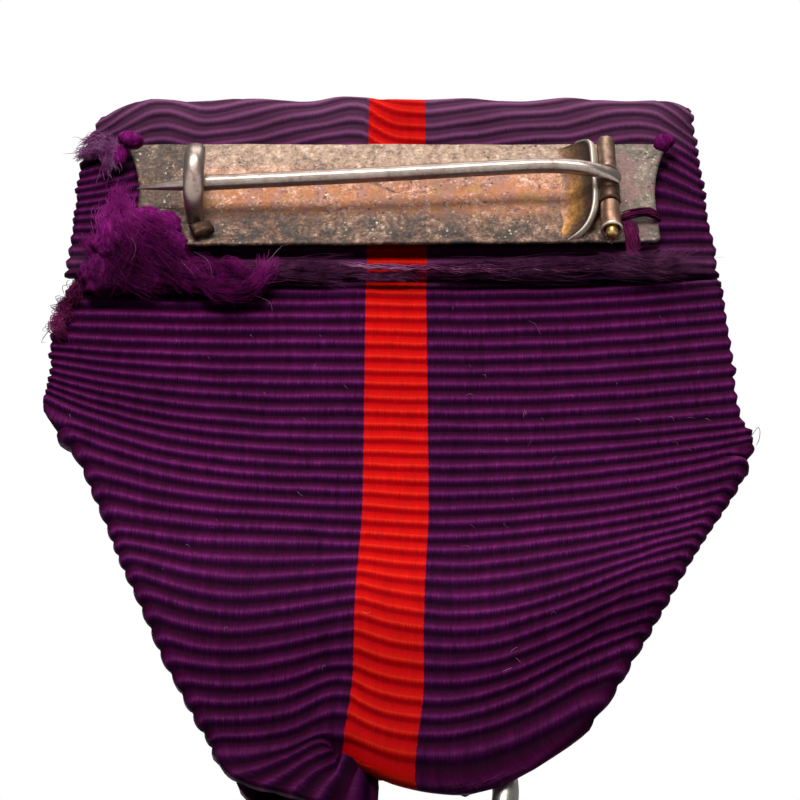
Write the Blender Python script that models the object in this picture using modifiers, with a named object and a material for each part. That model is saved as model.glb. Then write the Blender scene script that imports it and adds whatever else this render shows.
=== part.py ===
"""A medal on a folded ribbon with a brooch pin, hanging upright with its rear towards -Y.

The origin is the middle of the brooch plate's rear face: +X is to the right as seen from the
rear, +Y is towards the medal's front and +Z is up. Lengths are metres and angles are radians.
"""

import math

import bmesh
import bpy
from mathutils import Matrix, Vector

# Brooch plate: a flat bar with hollowed ends.
PLATE_HEIGHT = 0.0086
PLATE_THICKNESS = 0.0008
PLATE_WAIST = (0.01505, -0.0008)
PLATE_TOP_HALF_LENGTH = 0.0159
PLATE_FOOT_HALF_LENGTH = 0.0152

# Hinge: two fixed knuckles, the pin's own knuckle between them, and an axle along Z.
AXLE_X = 0.01225
AXLE_Y = -0.00095
AXLE_RADIUS = 0.00036
AXLE_SPAN = (-0.0046, 0.0037)
KNUCKLE_BORE_RADIUS = 0.00042
KNUCKLE_RADIUS = 0.00060
PIN_KNUCKLE_RADIUS = 0.00070
UPPER_KNUCKLE_SPAN = (0.0008, 0.0034)
PIN_KNUCKLE_SPAN = (-0.0019, 0.0007)
LOWER_KNUCKLE_SPAN = (-0.0041, -0.0020)

# Hinge stop: a sheet that curves up from the plate to a rounded rim beside the knuckles.
STOP_START_X = 0.0093
STOP_BEND_RADIUS = 0.0025
STOP_BEND_ANGLE = math.radians(61)
STOP_HALF_HEIGHT = 0.0039
STOP_THICKNESS = 0.0003

# Pin: a tapered spring wire, slightly bowed, from its point to its rolled knuckle.
PIN_RADIUS = 0.00042
PIN_TAPER_LENGTH = 0.0035
PIN_THINNING_X = 0.0096
PIN_THINNING = 0.45
PIN_ROUTE = (
    (-0.01505, -0.00105, -0.00060),
    (-0.01320, -0.00135, -0.00060),
    (-0.01100, -0.00160, -0.00056),
    (-0.00550, -0.00180, -0.00020),
    (0.00020, -0.00192, 0.00012),
    (0.00550, -0.00200, 0.00030),
    (0.00860, -0.00206, 0.00026),
    (0.01020, -0.00208, 0.00005),
    (0.01130, -0.00204, -0.00025),
    (0.01210, -0.00180, -0.00050),
)

# Catch: a C of wire on a small block.
CATCH_X = -0.0117
CATCH_CENTRE = (-0.0008, -0.00013)
CATCH_RADIUS = 0.00193
CATCH_WIRE_RADIUS = 0.00057
CATCH_BASE_SIZE = (0.0012, 0.0008, 0.0011)
CATCH_BASE_CENTRE = (-0.0112, -0.00045, -0.00335)

# Ribbon: one strip, in stretches. Its edges taper from the shoulders to the loop in the ring.
CLOTH = 0.0005
RIBBON_FLAP_Y = 0.00135
RIBBON_FLAP_FOOT_Z = -0.0055
FOLD_CENTRE = (0.0021, 0.0084)
FOLD_RADIUS = 0.00125
LOOP_TOP_Z = -0.0353
LOOP_FOOT_Z = -0.0409
FLAP_HALF_WIDTH = 0.0182
FOLD_HALF_WIDTH = 0.0177
UPPER_HALF_WIDTH = 0.0186
SHOULDER_HALF_WIDTH = 0.0192
LOOP_HALF_WIDTH = 0.0070
LEFT_SHOULDER_Z = -0.0162
RIGHT_SHOULDER_Z = -0.0186
TAPER_BULGE = 0.0007

# Section of the back run (y, z): it comes out below the flap and swells towards the ring.
BACK_RUN = (
    (0.00215, -0.0012),
    (0.00215, -0.0045),
    (0.00180, -0.0060),
    (0.00125, -0.0072),
    (0.00110, -0.0090),
    (0.00110, -0.0170),
    (0.00085, -0.0212),
    (0.00045, -0.0255),
    (-0.00020, -0.0285),
    (-0.00065, -0.0310),
    (-0.00060, -0.0330),
    (-0.00035, -0.0350),
)
# Section of the front run (y, z), below the top fold.
FRONT_RUN = (
    (0.00335, 0.0050),
    (0.00335, -0.0050),
    (0.00310, -0.0170),
    (0.00265, -0.0280),
    (0.00240, -0.0350),
)

# Ribbon sides, folded in between the runs: (y from, y to), and how the folds are cut.
SIDE_FOLD_Y = (0.0015, 0.00195)
SIDE_FOLD_FOOT_Z = -0.0342
SIDE_FOLD_SHOULDER_DROP = 0.0012
SIDE_FOLD_EDGE_INSET = 0.0003

# Ribbon loop: lobe arcs as (centre, radius, from degrees, to degrees), and its layers (y from, y to).
LOOP_LEFT_LOBE = ((-0.0040, -0.0424), 0.0024, 190, 345)
LOOP_RIGHT_LOBE = ((0.0044, -0.0397), 0.0020, 235, 335)
LOOP_LEFT_EDGE_Z = (-0.0380, -0.0403)
LOOP_RIGHT_EDGE_Z = -0.0385
LOOP_MIDDLE_X = -0.0012
LOOP_REAR_Y = (-0.00045, 0.00015)
LOOP_FRONT_Y = (0.0021, 0.0027)
LOOP_BUNCH_Y = (0.0, 0.00225)
LOOP_RING_CLEARANCE = 0.0003

# Thread sewn along the foot of the rear flap.
SEAM_SPAN = (-0.0130, 0.0150)
SEAM_Y = 0.00068
SEAM_Z = -0.0060
SEAM_STITCHES = 10
SEAM_HUMP = 0.00012
SEAM_THREAD_RADIUS = 0.00014

# Thread bundle round the plate's lower right corner.
TIE_RADIUS = 0.00042
TIE_ROUTE = (
    (0.0136, 0.0004, -0.0056),
    (0.0135, -0.00035, -0.0050),
    (0.0134, -0.00062, -0.0040),
    (0.0135, -0.00062, -0.0030),
    (0.0140, -0.00064, -0.0024),
    (0.0148, -0.00064, -0.0024),
    (0.0156, -0.00050, -0.0026),
    (0.0163, -0.00005, -0.0028),
    (0.0166, 0.00040, -0.0029),
)

# Tufts of unravelled yarn: name, centre and radii.
TUFTS = (
    ("frayed_yarn_end", (-0.0160, -0.00145, -0.0038), (0.0034, 0.0012, 0.0028)),
    ("frayed_yarn_foot", (-0.0097, -0.00015, -0.0075), (0.0024, 0.0007, 0.0017)),
)

# Suspension ring, hung in the loop.
RING_CENTRE = (0.0006, 0.00115, -0.0400)
RING_RADIUS = 0.00455
RING_WIRE_RADIUS = 0.00065

# Pendant: eye, neck and disc below the ring.
EYE_RADIUS = 0.00135
EYE_WIRE_RADIUS = 0.00045
EYE_DROP = 0.0002
NECK_TOP_Z = -0.0466
# Neck's profile: radius, and share of its height below its top.
NECK_PROFILE = (
    (0.0, 0.0),
    (0.00055, 0.0),
    (0.00075, 0.25),
    (0.00125, 0.42),
    (0.00125, 0.62),
    (0.00080, 0.78),
    (0.00135, 1.0),
    (0.0, 1.0),
)
DISC_RADIUS = 0.0180
DISC_CENTRE_Z = -0.0669
DISC_FIELD = 0.0009
DISC_RIM = 0.0015
RIM_WIDTH = 0.0021
FIT_GAP = 0.00005
WREATH_RADII = (0.0121, 0.0150)
STAR_POINTS = 8
STAR_RADII = (0.0115, 0.0075)
STAR_HEIGHT = 0.0008
STAR_FLAT_RADIUS = 0.0064
COLLAR_RADII = (0.0048, 0.0060)
MEDALLION_RADIUS = 0.0046
RELIEF_HEIGHT = 0.0006
# Medallion's dome: radius, and height above the star.
MEDALLION_DOME = (
    (0.0, 0.0006),
    (0.0020, 0.00052),
    (0.0036, 0.00035),
    (MEDALLION_RADIUS, 0.0001),
    (MEDALLION_RADIUS, 0.0),
    (0.0, 0.0),
)
REVERSE_RADIUS = 0.0125
REVERSE_THICKNESS = 0.0008

SILVER = ("tarnished_silver", (0.42, 0.33, 0.26), 0.42, 1.0)
BRIGHT_SILVER = ("bright_silver", (0.72, 0.70, 0.67), 0.3, 1.0)
BRASS = ("brass", (0.60, 0.45, 0.18), 0.4, 1.0)
PURPLE = ("purple_silk", (0.05, 0.004, 0.04), 0.6, 0.0)
YARN = ("purple_yarn", (0.12, 0.01, 0.08), 0.8, 0.0)


def clear_scene():
    for obj in list(bpy.data.objects):
        bpy.data.objects.remove(obj)


def new_collection(name):
    collection = bpy.data.collections.new(name)
    bpy.context.scene.collection.children.link(collection)
    return collection


def finish_material(obj, finish):
    """Gives the object a Principled material of its own."""
    name, colour, roughness, metallic = finish
    material = bpy.data.materials.new(f"{name}_{obj.name}")
    material.use_nodes = True
    shader = material.node_tree.nodes["Principled BSDF"]
    shader.inputs["Base Color"].default_value = (*colour, 1.0)
    shader.inputs["Roughness"].default_value = roughness
    shader.inputs["Metallic"].default_value = metallic
    obj.data.materials.append(material)


def place(name, data, finish, collection, matrix=None):
    """Makes an object from mesh or curve data and puts it in its collection."""
    obj = bpy.data.objects.new(name, data)
    collection.objects.link(obj)
    if matrix is not None:
        obj.matrix_world = matrix
    if finish is not None:
        finish_material(obj, finish)
    return obj


def mesh_from(name, mesh_bm):
    bmesh.ops.recalc_face_normals(mesh_bm, faces=mesh_bm.faces)
    data = bpy.data.meshes.new(name)
    mesh_bm.to_mesh(data)
    mesh_bm.free()
    return data


def smooth(obj, angle=math.radians(35)):
    obj.data.shade_smooth()
    obj.data.set_sharp_from_angle(angle=angle)
    return obj


def cut(target, cutter):
    """Cuts the cutter away from the target, and leaves the cutter as a wire guide."""
    cutter.hide_render = True
    cutter.display_type = "WIRE"
    modifier = target.modifiers.new(f"cut_{cutter.name}", "BOOLEAN")
    modifier.operation = "DIFFERENCE"
    modifier.object = cutter


def tube_along(name, points, radii, finish, parts, sides=3):
    """A round wire through the points; radii holds one radius for each point."""
    data = bpy.data.curves.new(name, "CURVE")
    data.dimensions = "3D"
    data.bevel_depth = max(radii)
    data.bevel_resolution = sides
    data.use_fill_caps = True
    spline = data.splines.new("POLY")
    spline.points.add(len(points) - 1)
    for spot, point, radius in zip(spline.points, points, radii):
        spot.co = (*point, 1.0)
        spot.radius = radius / max(radii)
    return place(name, data, finish, parts)


def turned(name, profile, finish, parts, matrix, steps=48):
    """A solid turned about its local Z. The profile (radius, height) runs from top to bottom."""
    mesh_bm = bmesh.new()
    corners = [mesh_bm.verts.new((radius, 0.0, height)) for radius, height in profile]
    for start, end in zip(corners, corners[1:]):
        mesh_bm.edges.new((start, end))
    data = bpy.data.meshes.new(name)
    mesh_bm.to_mesh(data)
    mesh_bm.free()
    obj = place(name, data, finish, parts, matrix)
    modifier = obj.modifiers.new("turn", "SCREW")
    modifier.steps = steps
    modifier.render_steps = steps
    modifier.use_merge_vertices = True
    modifier.merge_threshold = 0.00001
    modifier.use_smooth_shade = False
    return obj


def ring_profile(inner, outer, low, high):
    """A closed rectangular section for turned()."""
    return ((inner, high), (outer, high), (outer, low), (inner, low), (inner, high))


def disc_profile(radius, low, high, edge):
    """A disc with a small chamfer round its upper and lower edges."""
    return (
        (0.0, high),
        (radius - edge, high),
        (radius, high - edge),
        (radius, low + edge),
        (radius - edge, low),
        (0.0, low),
    )


def cylinder(name, radius, span, finish, parts, segments=28):
    """An upright cylinder on the hinge's axis, between the two heights of span."""
    mesh_bm = bmesh.new()
    bmesh.ops.create_cone(
        mesh_bm,
        cap_ends=True,
        segments=segments,
        radius1=radius,
        radius2=radius,
        depth=span[1] - span[0],
    )
    middle = Matrix.Translation((AXLE_X, AXLE_Y, (span[0] + span[1]) / 2))
    return place(name, mesh_from(name, mesh_bm), finish, parts, middle)


def flat_outline(name, outline, y_span, finish, parts):
    """A plate with an outline (x, z) between two values of y."""
    data = bpy.data.curves.new(name, "CURVE")
    data.dimensions = "2D"
    data.fill_mode = "BOTH"
    data.extrude = (y_span[1] - y_span[0]) / 2
    spline = data.splines.new("POLY")
    spline.points.add(len(outline) - 1)
    for spot, (x, z) in zip(spline.points, outline):
        spot.co = (x, z, 0.0, 1.0)
    spline.use_cyclic_u = True
    upright = Matrix.Translation((0.0, sum(y_span) / 2, 0.0)) @ Matrix.Rotation(
        math.pi / 2, 4, "X"
    )
    return place(name, data, finish, parts, upright)


def as_mesh(obj):
    """Turns a curve object into a mesh object with its caps welded."""
    bpy.context.view_layer.update()
    graph = bpy.context.evaluated_depsgraph_get()
    data = bpy.data.meshes.new_from_object(obj.evaluated_get(graph))
    mesh_bm = bmesh.new()
    mesh_bm.from_mesh(data)
    bmesh.ops.remove_doubles(mesh_bm, verts=mesh_bm.verts, dist=0.0000001)
    bmesh.ops.recalc_face_normals(mesh_bm, faces=mesh_bm.faces)
    mesh_bm.to_mesh(data)
    mesh_bm.free()
    name = obj.name
    solid = bpy.data.objects.new(f"{name}_mesh", data)
    solid.matrix_world = obj.matrix_world
    for collection in list(obj.users_collection):
        collection.objects.link(solid)
    bpy.data.objects.remove(obj)
    solid.name = name
    return solid


def arc(centre, radius, start, end, count):
    """Points on an arc, from one angle to another."""
    angles = [start + (end - start) * step / (count - 1) for step in range(count)]
    return [
        (centre[0] + radius * math.cos(angle), centre[1] + radius * math.sin(angle))
        for angle in angles
    ]


def plate_outline():
    """The bar's outline: its ends curve inwards to a waist and flare most at the top."""
    waist_x, waist_z = PLATE_WAIST
    right = []
    for step in range(11):
        z = PLATE_HEIGHT * (step / 10 - 0.5)
        corner = PLATE_TOP_HALF_LENGTH if z > waist_z else PLATE_FOOT_HALF_LENGTH
        reach = math.copysign(PLATE_HEIGHT / 2, z - waist_z) - waist_z
        right.append((waist_x + (corner - waist_x) * ((z - waist_z) / reach) ** 2, z))
    left = [(-x, z) for x, z in reversed(right)]
    return right + left


def make_plate(parts):
    plate = as_mesh(
        flat_outline("brooch_plate", plate_outline(), (0.0, PLATE_THICKNESS), SILVER, parts)
    )
    bevel = plate.modifiers.new("worn_edges", "BEVEL")
    bevel.width = 0.00008
    bevel.segments = 2
    bevel.limit_method = "ANGLE"
    return plate


def make_hinge_stop(parts):
    """A sheet bent along an arc, with a rounded rim."""
    rows, columns = 9, 15
    mesh_bm = bmesh.new()
    grid = []
    arc_length = STOP_BEND_RADIUS * STOP_BEND_ANGLE
    for column in range(columns):
        across = -0.97 + 1.94 * column / (columns - 1)
        reach = arc_length * math.sqrt(1.0 - abs(across) ** 3)
        line = []
        for row in range(rows):
            angle = reach * row / (rows - 1) / STOP_BEND_RADIUS
            rise = STOP_BEND_RADIUS * (1.0 - math.cos(angle))
            x = STOP_START_X + STOP_BEND_RADIUS * math.sin(angle)
            y = -(FIT_GAP + STOP_THICKNESS / 2 + rise)
            line.append(mesh_bm.verts.new((x, y, STOP_HALF_HEIGHT * across)))
        grid.append(line)
    for left, right in zip(grid, grid[1:]):
        for row in range(rows - 1):
            mesh_bm.faces.new((left[row], left[row + 1], right[row + 1], right[row]))
    stop = place("hinge_stop", mesh_from("hinge_stop", mesh_bm), SILVER, parts)
    shell = stop.modifiers.new("sheet", "SOLIDIFY")
    shell.thickness = STOP_THICKNESS
    shell.offset = 0.0
    return smooth(stop)


def make_hinge(parts, cutters):
    bore = cylinder("bore_cutter", KNUCKLE_BORE_RADIUS, (-0.006, 0.006), None, cutters)
    knuckles = (
        ("hinge_knuckle_upper", KNUCKLE_RADIUS, UPPER_KNUCKLE_SPAN),
        ("hinge_knuckle_lower", KNUCKLE_RADIUS, LOWER_KNUCKLE_SPAN),
        ("pin_knuckle", PIN_KNUCKLE_RADIUS, PIN_KNUCKLE_SPAN),
    )
    for name, radius, span in knuckles:
        knuckle = cylinder(name, radius, span, SILVER, parts)
        cut(knuckle, bore)
        smooth(knuckle)
    smooth(cylinder("hinge_axle", AXLE_RADIUS, AXLE_SPAN, BRASS, parts, segments=20))


def smooth_route(route, per_span):
    """Points on a smooth curve through the route's own points."""
    spots = [Vector(route[0]), *map(Vector, route), Vector(route[-1])]
    points = []
    for first, start, end, last in zip(spots, spots[1:], spots[2:], spots[3:]):
        for step in range(per_span):
            t = step / per_span
            points.append(
                0.5
                * (
                    2.0 * start
                    + (end - first) * t
                    + (2.0 * first - 5.0 * start + 4.0 * end - last) * t**2
                    + (3.0 * start - first - 3.0 * end + last) * t**3
                )
            )
    return [*points, spots[-1]]


def make_pin_wire(parts):
    """The pin tapers to its point and thins where it meets its rolled knuckle."""
    points = smooth_route(PIN_ROUTE, 3)
    radii = []
    for point in points:
        taper = min(1.0, 0.1 + (point.x - PIN_ROUTE[0][0]) / PIN_TAPER_LENGTH)
        thinning = max(0.0, (point.x - PIN_THINNING_X) / (PIN_ROUTE[-1][0] - PIN_THINNING_X))
        radii.append(PIN_RADIUS * taper * (1.0 - PIN_THINNING * thinning))
    return tube_along("pin_wire", points, radii, SILVER, parts)


def make_catch(parts):
    """The hook rises from its foot below the pin, passes over it and ends above the plate."""
    centre_y, centre_z = CATCH_CENTRE
    bend = arc((centre_z, -centre_y), CATCH_RADIUS, math.pi, math.radians(5), 25)
    hook = [(CATCH_X, -height, z) for z, height in bend]
    foot = (CATCH_X, -FIT_GAP, hook[0][2])
    points = [foot, *hook]
    tube_along("catch_hook", points, [CATCH_WIRE_RADIUS] * len(points), SILVER, parts)
    mesh_bm = bmesh.new()
    bmesh.ops.create_cube(mesh_bm, size=1.0)
    bmesh.ops.scale(mesh_bm, vec=CATCH_BASE_SIZE, verts=mesh_bm.verts)
    turn = Matrix.Translation(CATCH_BASE_CENTRE) @ Matrix.Rotation(math.radians(-22), 4, "Y")
    base = place("catch_base", mesh_from("catch_base", mesh_bm), SILVER, parts, turn)
    bevel = base.modifiers.new("soft_edges", "BEVEL")
    bevel.width = 0.0001
    bevel.segments = 2


def half_width(z, shoulder_z):
    """Half of the ribbon's width at height z: it widens to the shoulder, then tapers."""
    if z >= shoulder_z:
        upper = max(0.0, min(1.0, (z - shoulder_z) / (-0.0072 - shoulder_z)))
        return SHOULDER_HALF_WIDTH + (UPPER_HALF_WIDTH - SHOULDER_HALF_WIDTH) * upper
    along = (shoulder_z - z) / (shoulder_z - LOOP_FOOT_Z)
    straight = SHOULDER_HALF_WIDTH + (LOOP_HALF_WIDTH - SHOULDER_HALF_WIDTH) * along
    return straight + TAPER_BULGE * math.sin(math.pi * along)


def run_station(y, z):
    """Place and half widths of a station on the front or back run."""
    return (y, z, half_width(z, LEFT_SHOULDER_Z), half_width(z, RIGHT_SHOULDER_Z))


def denser(section, step=0.0015):
    """The section's points with more between them, so that tapered edges stay smooth."""
    points = [section[0]]
    for (y0, z0), (y1, z1) in zip(section, section[1:]):
        pieces = max(1, round(math.hypot(y1 - y0, z1 - z0) / step))
        for piece in range(1, pieces + 1):
            part = piece / pieces
            points.append((y0 + (y1 - y0) * part, z0 + (z1 - z0) * part))
    return points


def strip(name, stations, finish, parts):
    """A band of cloth through stations (y, z, left half width, right half width)."""
    mesh_bm = bmesh.new()
    columns = (-1.0, -0.5, 0.0, 0.5, 1.0)
    rows = []
    for y, z, left, right in stations:
        widths = [left * column if column < 0 else right * column for column in columns]
        rows.append([mesh_bm.verts.new((x, y, z)) for x in widths])
    for upper, lower in zip(rows, rows[1:]):
        for column in range(len(columns) - 1):
            mesh_bm.faces.new(
                (upper[column], upper[column + 1], lower[column + 1], lower[column])
            )
    band = place(name, mesh_from(name, mesh_bm), finish, parts)
    cloth = band.modifiers.new("cloth", "SOLIDIFY")
    cloth.thickness = CLOTH
    cloth.offset = 0.0
    cloth.use_even_offset = True
    return smooth(band)


def make_ribbon_front(parts):
    """Rear flap, top fold and front run, as one strip."""
    stations = [
        (RIBBON_FLAP_Y, z, FLAP_HALF_WIDTH, FLAP_HALF_WIDTH)
        for z in (RIBBON_FLAP_FOOT_Z, -0.003, 0.0, 0.003, 0.005)
    ]
    stations.append((0.00115, 0.0066, FLAP_HALF_WIDTH, FLAP_HALF_WIDTH))
    for y, z in arc(FOLD_CENTRE, FOLD_RADIUS, math.pi, 0.0, 11):
        stations.append((y, z, FOLD_HALF_WIDTH, FOLD_HALF_WIDTH))
    stations += [run_station(y, z) for y, z in denser(FRONT_RUN)]
    strip("ribbon_front", stations, PURPLE, parts)


def make_ribbon_back(parts):
    strip("ribbon_back", [run_station(y, z) for y, z in denser(BACK_RUN)], PURPLE, parts)


def make_side_folds(parts):
    """The ribbon's sides, folded in between its two runs below the shoulders."""
    for name, side, shoulder in (
        ("ribbon_fold_left", -1, LEFT_SHOULDER_Z),
        ("ribbon_fold_right", 1, RIGHT_SHOULDER_Z),
    ):
        drop = SIDE_FOLD_SHOULDER_DROP
        edge_x = half_width(SIDE_FOLD_FOOT_Z, shoulder) - SIDE_FOLD_EDGE_INSET
        inner_x = 2 * half_width(SIDE_FOLD_FOOT_Z, shoulder) - SHOULDER_HALF_WIDTH
        outline = (
            (side * (SHOULDER_HALF_WIDTH - drop), shoulder - drop),
            (side * edge_x, SIDE_FOLD_FOOT_Z),
            (side * inner_x, SIDE_FOLD_FOOT_Z),
        )
        flat_outline(name, outline, SIDE_FOLD_Y, PURPLE, parts)


def loop_outline():
    """The loop's outline from the rear: a longer lobe at the left and a short one at the right."""
    left_edge = [(-half_width(z, LEFT_SHOULDER_Z), z) for z in (LOOP_TOP_Z, *LOOP_LEFT_EDGE_Z)]
    right_edge = [(half_width(z, RIGHT_SHOULDER_Z), z) for z in (LOOP_RIGHT_EDGE_Z, LOOP_TOP_Z)]
    left_lobe, right_lobe = (
        arc(centre, radius, math.radians(start), math.radians(end), count)
        for (centre, radius, start, end), count in ((LOOP_LEFT_LOBE, 9), (LOOP_RIGHT_LOBE, 6))
    )
    return left_edge + left_lobe + [(LOOP_MIDDLE_X, LOOP_FOOT_Z)] + right_lobe + right_edge


def make_ribbon_loop(parts, cutters):
    """Two lobes joined by the bunched cloth that passes through the ring."""
    loop = as_mesh(
        flat_outline("ribbon_loop", loop_outline(), LOOP_REAR_Y, PURPLE, parts)
    )
    front = as_mesh(
        flat_outline("loop_front_lobe", loop_outline(), LOOP_FRONT_Y, None, cutters)
    )
    reach = RING_RADIUS - RING_WIRE_RADIUS - LOOP_RING_CLEARANCE
    low = math.asin((LOOP_FOOT_Z - RING_CENTRE[2]) / reach)
    bunch_outline = arc((RING_CENTRE[0], RING_CENTRE[2]), reach, low, math.pi - low, 17)
    bunch = as_mesh(
        flat_outline("loop_bunch", bunch_outline, LOOP_BUNCH_Y, None, cutters)
    )
    for piece in (bunch, front):
        piece.hide_render = True
        piece.display_type = "WIRE"
        joined = loop.modifiers.new(f"join_{piece.name}", "BOOLEAN")
        joined.operation = "UNION"
        joined.object = piece
    return loop


def make_seam_thread(parts):
    """The thread sewn along the foot of the rear flap: its stitches show as low humps."""
    start_x, end_x = SEAM_SPAN
    steps = 8 * SEAM_STITCHES
    points = []
    for step in range(steps + 1):
        hump = SEAM_HUMP * math.cos(math.tau * step / 8)
        points.append((start_x + (end_x - start_x) * step / steps, SEAM_Y + hump, SEAM_Z))
    tube_along("seam_thread", points, [SEAM_THREAD_RADIUS] * len(points), YARN, parts, sides=2)


def make_corner_tie(parts):
    """The bundle of thread that lashes the plate's lower right corner to the ribbon."""
    points = smooth_route(TIE_ROUTE, 2)
    tube_along("corner_tie", points, [TIE_RADIUS] * len(points), YARN, parts)


def make_frayed_yarn(parts):
    """Two soft tufts of unravelled yarn at the plate's left end, as plain rounded solids."""
    for name, centre, radii in TUFTS:
        mesh_bm = bmesh.new()
        bmesh.ops.create_uvsphere(
            mesh_bm,
            u_segments=20,
            v_segments=12,
            radius=1.0,
            matrix=Matrix.Translation(centre) @ Matrix.Diagonal((*radii, 1.0)),
        )
        smooth(place(name, mesh_from(name, mesh_bm), YARN, parts))


def torus(name, centre, radius, wire_radius, axis, finish, parts, segments=48, sides=14):
    """A closed round ring about the given axis."""
    section = arc((radius, 0.0), wire_radius, math.tau, 0.0, sides + 1)
    turned_to = Vector((0.0, 0.0, 1.0)).rotation_difference(Vector(axis)).to_matrix().to_4x4()
    ring = turned(
        name, section, finish, parts, Matrix.Translation(centre) @ turned_to, steps=segments
    )
    weld = ring.modifiers.new("weld", "WELD")
    weld.merge_threshold = 0.00001
    return ring


def facing_front(y):
    """Frame of a turned piece of the pendant: its local Z points to the medal's front."""
    centre = Vector((RING_CENTRE[0], y, DISC_CENTRE_Z))
    return Matrix.Translation(centre) @ Matrix.Rotation(-math.pi / 2, 4, "X")


def make_suspension(parts):
    torus("suspension_ring", RING_CENTRE, RING_RADIUS, RING_WIRE_RADIUS, (0, 1, 0),
          BRIGHT_SILVER, parts, segments=64)
    eye_centre = (
        RING_CENTRE[0],
        RING_CENTRE[1],
        RING_CENTRE[2] - RING_RADIUS - EYE_DROP,
    )
    torus("suspension_eye", eye_centre, EYE_RADIUS, EYE_WIRE_RADIUS, (1, 0, 0),
          BRIGHT_SILVER, parts, segments=36, sides=12)


def make_neck(parts):
    """A turned neck between the eye and the disc's edge."""
    height = NECK_TOP_Z - (DISC_CENTRE_Z + DISC_RADIUS) - FIT_GAP
    profile = [(radius, -share * height) for radius, share in NECK_PROFILE]
    spot = Matrix.Translation((RING_CENTRE[0], RING_CENTRE[1], NECK_TOP_Z))
    smooth_turned(turned("suspension_neck", profile, BRIGHT_SILVER, parts, spot, steps=32))


def smooth_turned(obj):
    obj.modifiers["turn"].use_smooth_shade = True
    return obj


def make_disc(parts):
    rim_inner = DISC_RADIUS - RIM_WIDTH
    edge = 0.00025
    profile = (
        (0.0, DISC_FIELD),
        (rim_inner, DISC_FIELD),
        (rim_inner + edge, DISC_RIM),
        (DISC_RADIUS - edge, DISC_RIM),
        (DISC_RADIUS, DISC_RIM - edge),
        (DISC_RADIUS, edge - DISC_RIM),
        (DISC_RADIUS - edge, -DISC_RIM),
        (rim_inner + edge, -DISC_RIM),
        (rim_inner, -DISC_FIELD),
        (0.0, -DISC_FIELD),
    )
    turned("medal_disc", profile, BRIGHT_SILVER, parts, facing_front(RING_CENTRE[1]), steps=72)


def make_obverse(parts):
    """Star, wreath, collar and medallion on the disc's front."""
    base = facing_front(RING_CENTRE[1])
    low = DISC_FIELD + FIT_GAP
    wreath = ring_profile(*WREATH_RADII, low, low + RELIEF_HEIGHT)
    wreath_ring = turned("obverse_wreath", wreath, BRIGHT_SILVER, parts, base, steps=64)
    wreath_ring.modifiers.new("weld", "WELD").merge_threshold = 0.00001
    make_star(parts, base @ Matrix.Translation((0.0, 0.0, low)))
    top = low + STAR_HEIGHT + FIT_GAP
    collar = ring_profile(*COLLAR_RADII, top, top + RELIEF_HEIGHT)
    collar_ring = turned("medallion_collar", collar, BRIGHT_SILVER, parts, base)
    collar_ring.modifiers.new("weld", "WELD").merge_threshold = 0.00001
    dome = [(radius, top + height) for radius, height in MEDALLION_DOME]
    smooth_turned(turned("obverse_medallion", dome, BRIGHT_SILVER, parts, base))


def make_star(parts, matrix):
    """A low star: a sixteen-sided cone whose base corners are drawn in by turns."""
    mesh_bm = bmesh.new()
    bmesh.ops.create_cone(
        mesh_bm,
        cap_ends=True,
        segments=2 * STAR_POINTS,
        radius1=STAR_RADII[0],
        radius2=STAR_FLAT_RADIUS,
        depth=STAR_HEIGHT,
        matrix=Matrix.Translation((0.0, 0.0, STAR_HEIGHT / 2)),
    )
    for vert in mesh_bm.verts:
        sector = round(math.atan2(vert.co.y, vert.co.x) / (math.pi / STAR_POINTS) - 0.5)
        if vert.co.z < STAR_HEIGHT / 2 and sector % 2:
            vert.co.x *= STAR_RADII[1] / STAR_RADII[0]
            vert.co.y *= STAR_RADII[1] / STAR_RADII[0]
    place("obverse_star", mesh_from("obverse_star", mesh_bm), BRIGHT_SILVER, parts, matrix)


def make_reverse(parts):
    """The plain reverse plate, which stands a little above the rim."""
    high = -DISC_FIELD - FIT_GAP
    profile = disc_profile(REVERSE_RADIUS, high - REVERSE_THICKNESS, high, 0.00015)
    turned("reverse_medallion", profile, BRIGHT_SILVER, parts,
           facing_front(RING_CENTRE[1]), steps=64)


def main():
    clear_scene()
    parts = new_collection("medal")
    cutters = new_collection("cutters")
    make_plate(parts)
    make_hinge_stop(parts)
    make_hinge(parts, cutters)
    make_pin_wire(parts)
    make_catch(parts)
    make_ribbon_front(parts)
    make_ribbon_back(parts)
    make_side_folds(parts)
    make_ribbon_loop(parts, cutters)
    make_seam_thread(parts)
    make_corner_tie(parts)
    make_frayed_yarn(parts)
    make_suspension(parts)
    make_neck(parts)
    make_disc(parts)
    make_obverse(parts)
    make_reverse(parts)


main()
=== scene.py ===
"""Looks of a medal that hangs upright on its folded ribbon, seen from the rear.

Shapes are written in millimetres in the CAD frame: +X to the right as seen from the rear, +Y towards
the medal's front, +Z up, and the origin at the middle of the brooch plate's rear face.
"""

import math

import bpy
import numpy as np
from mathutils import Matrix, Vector, noise


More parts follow.
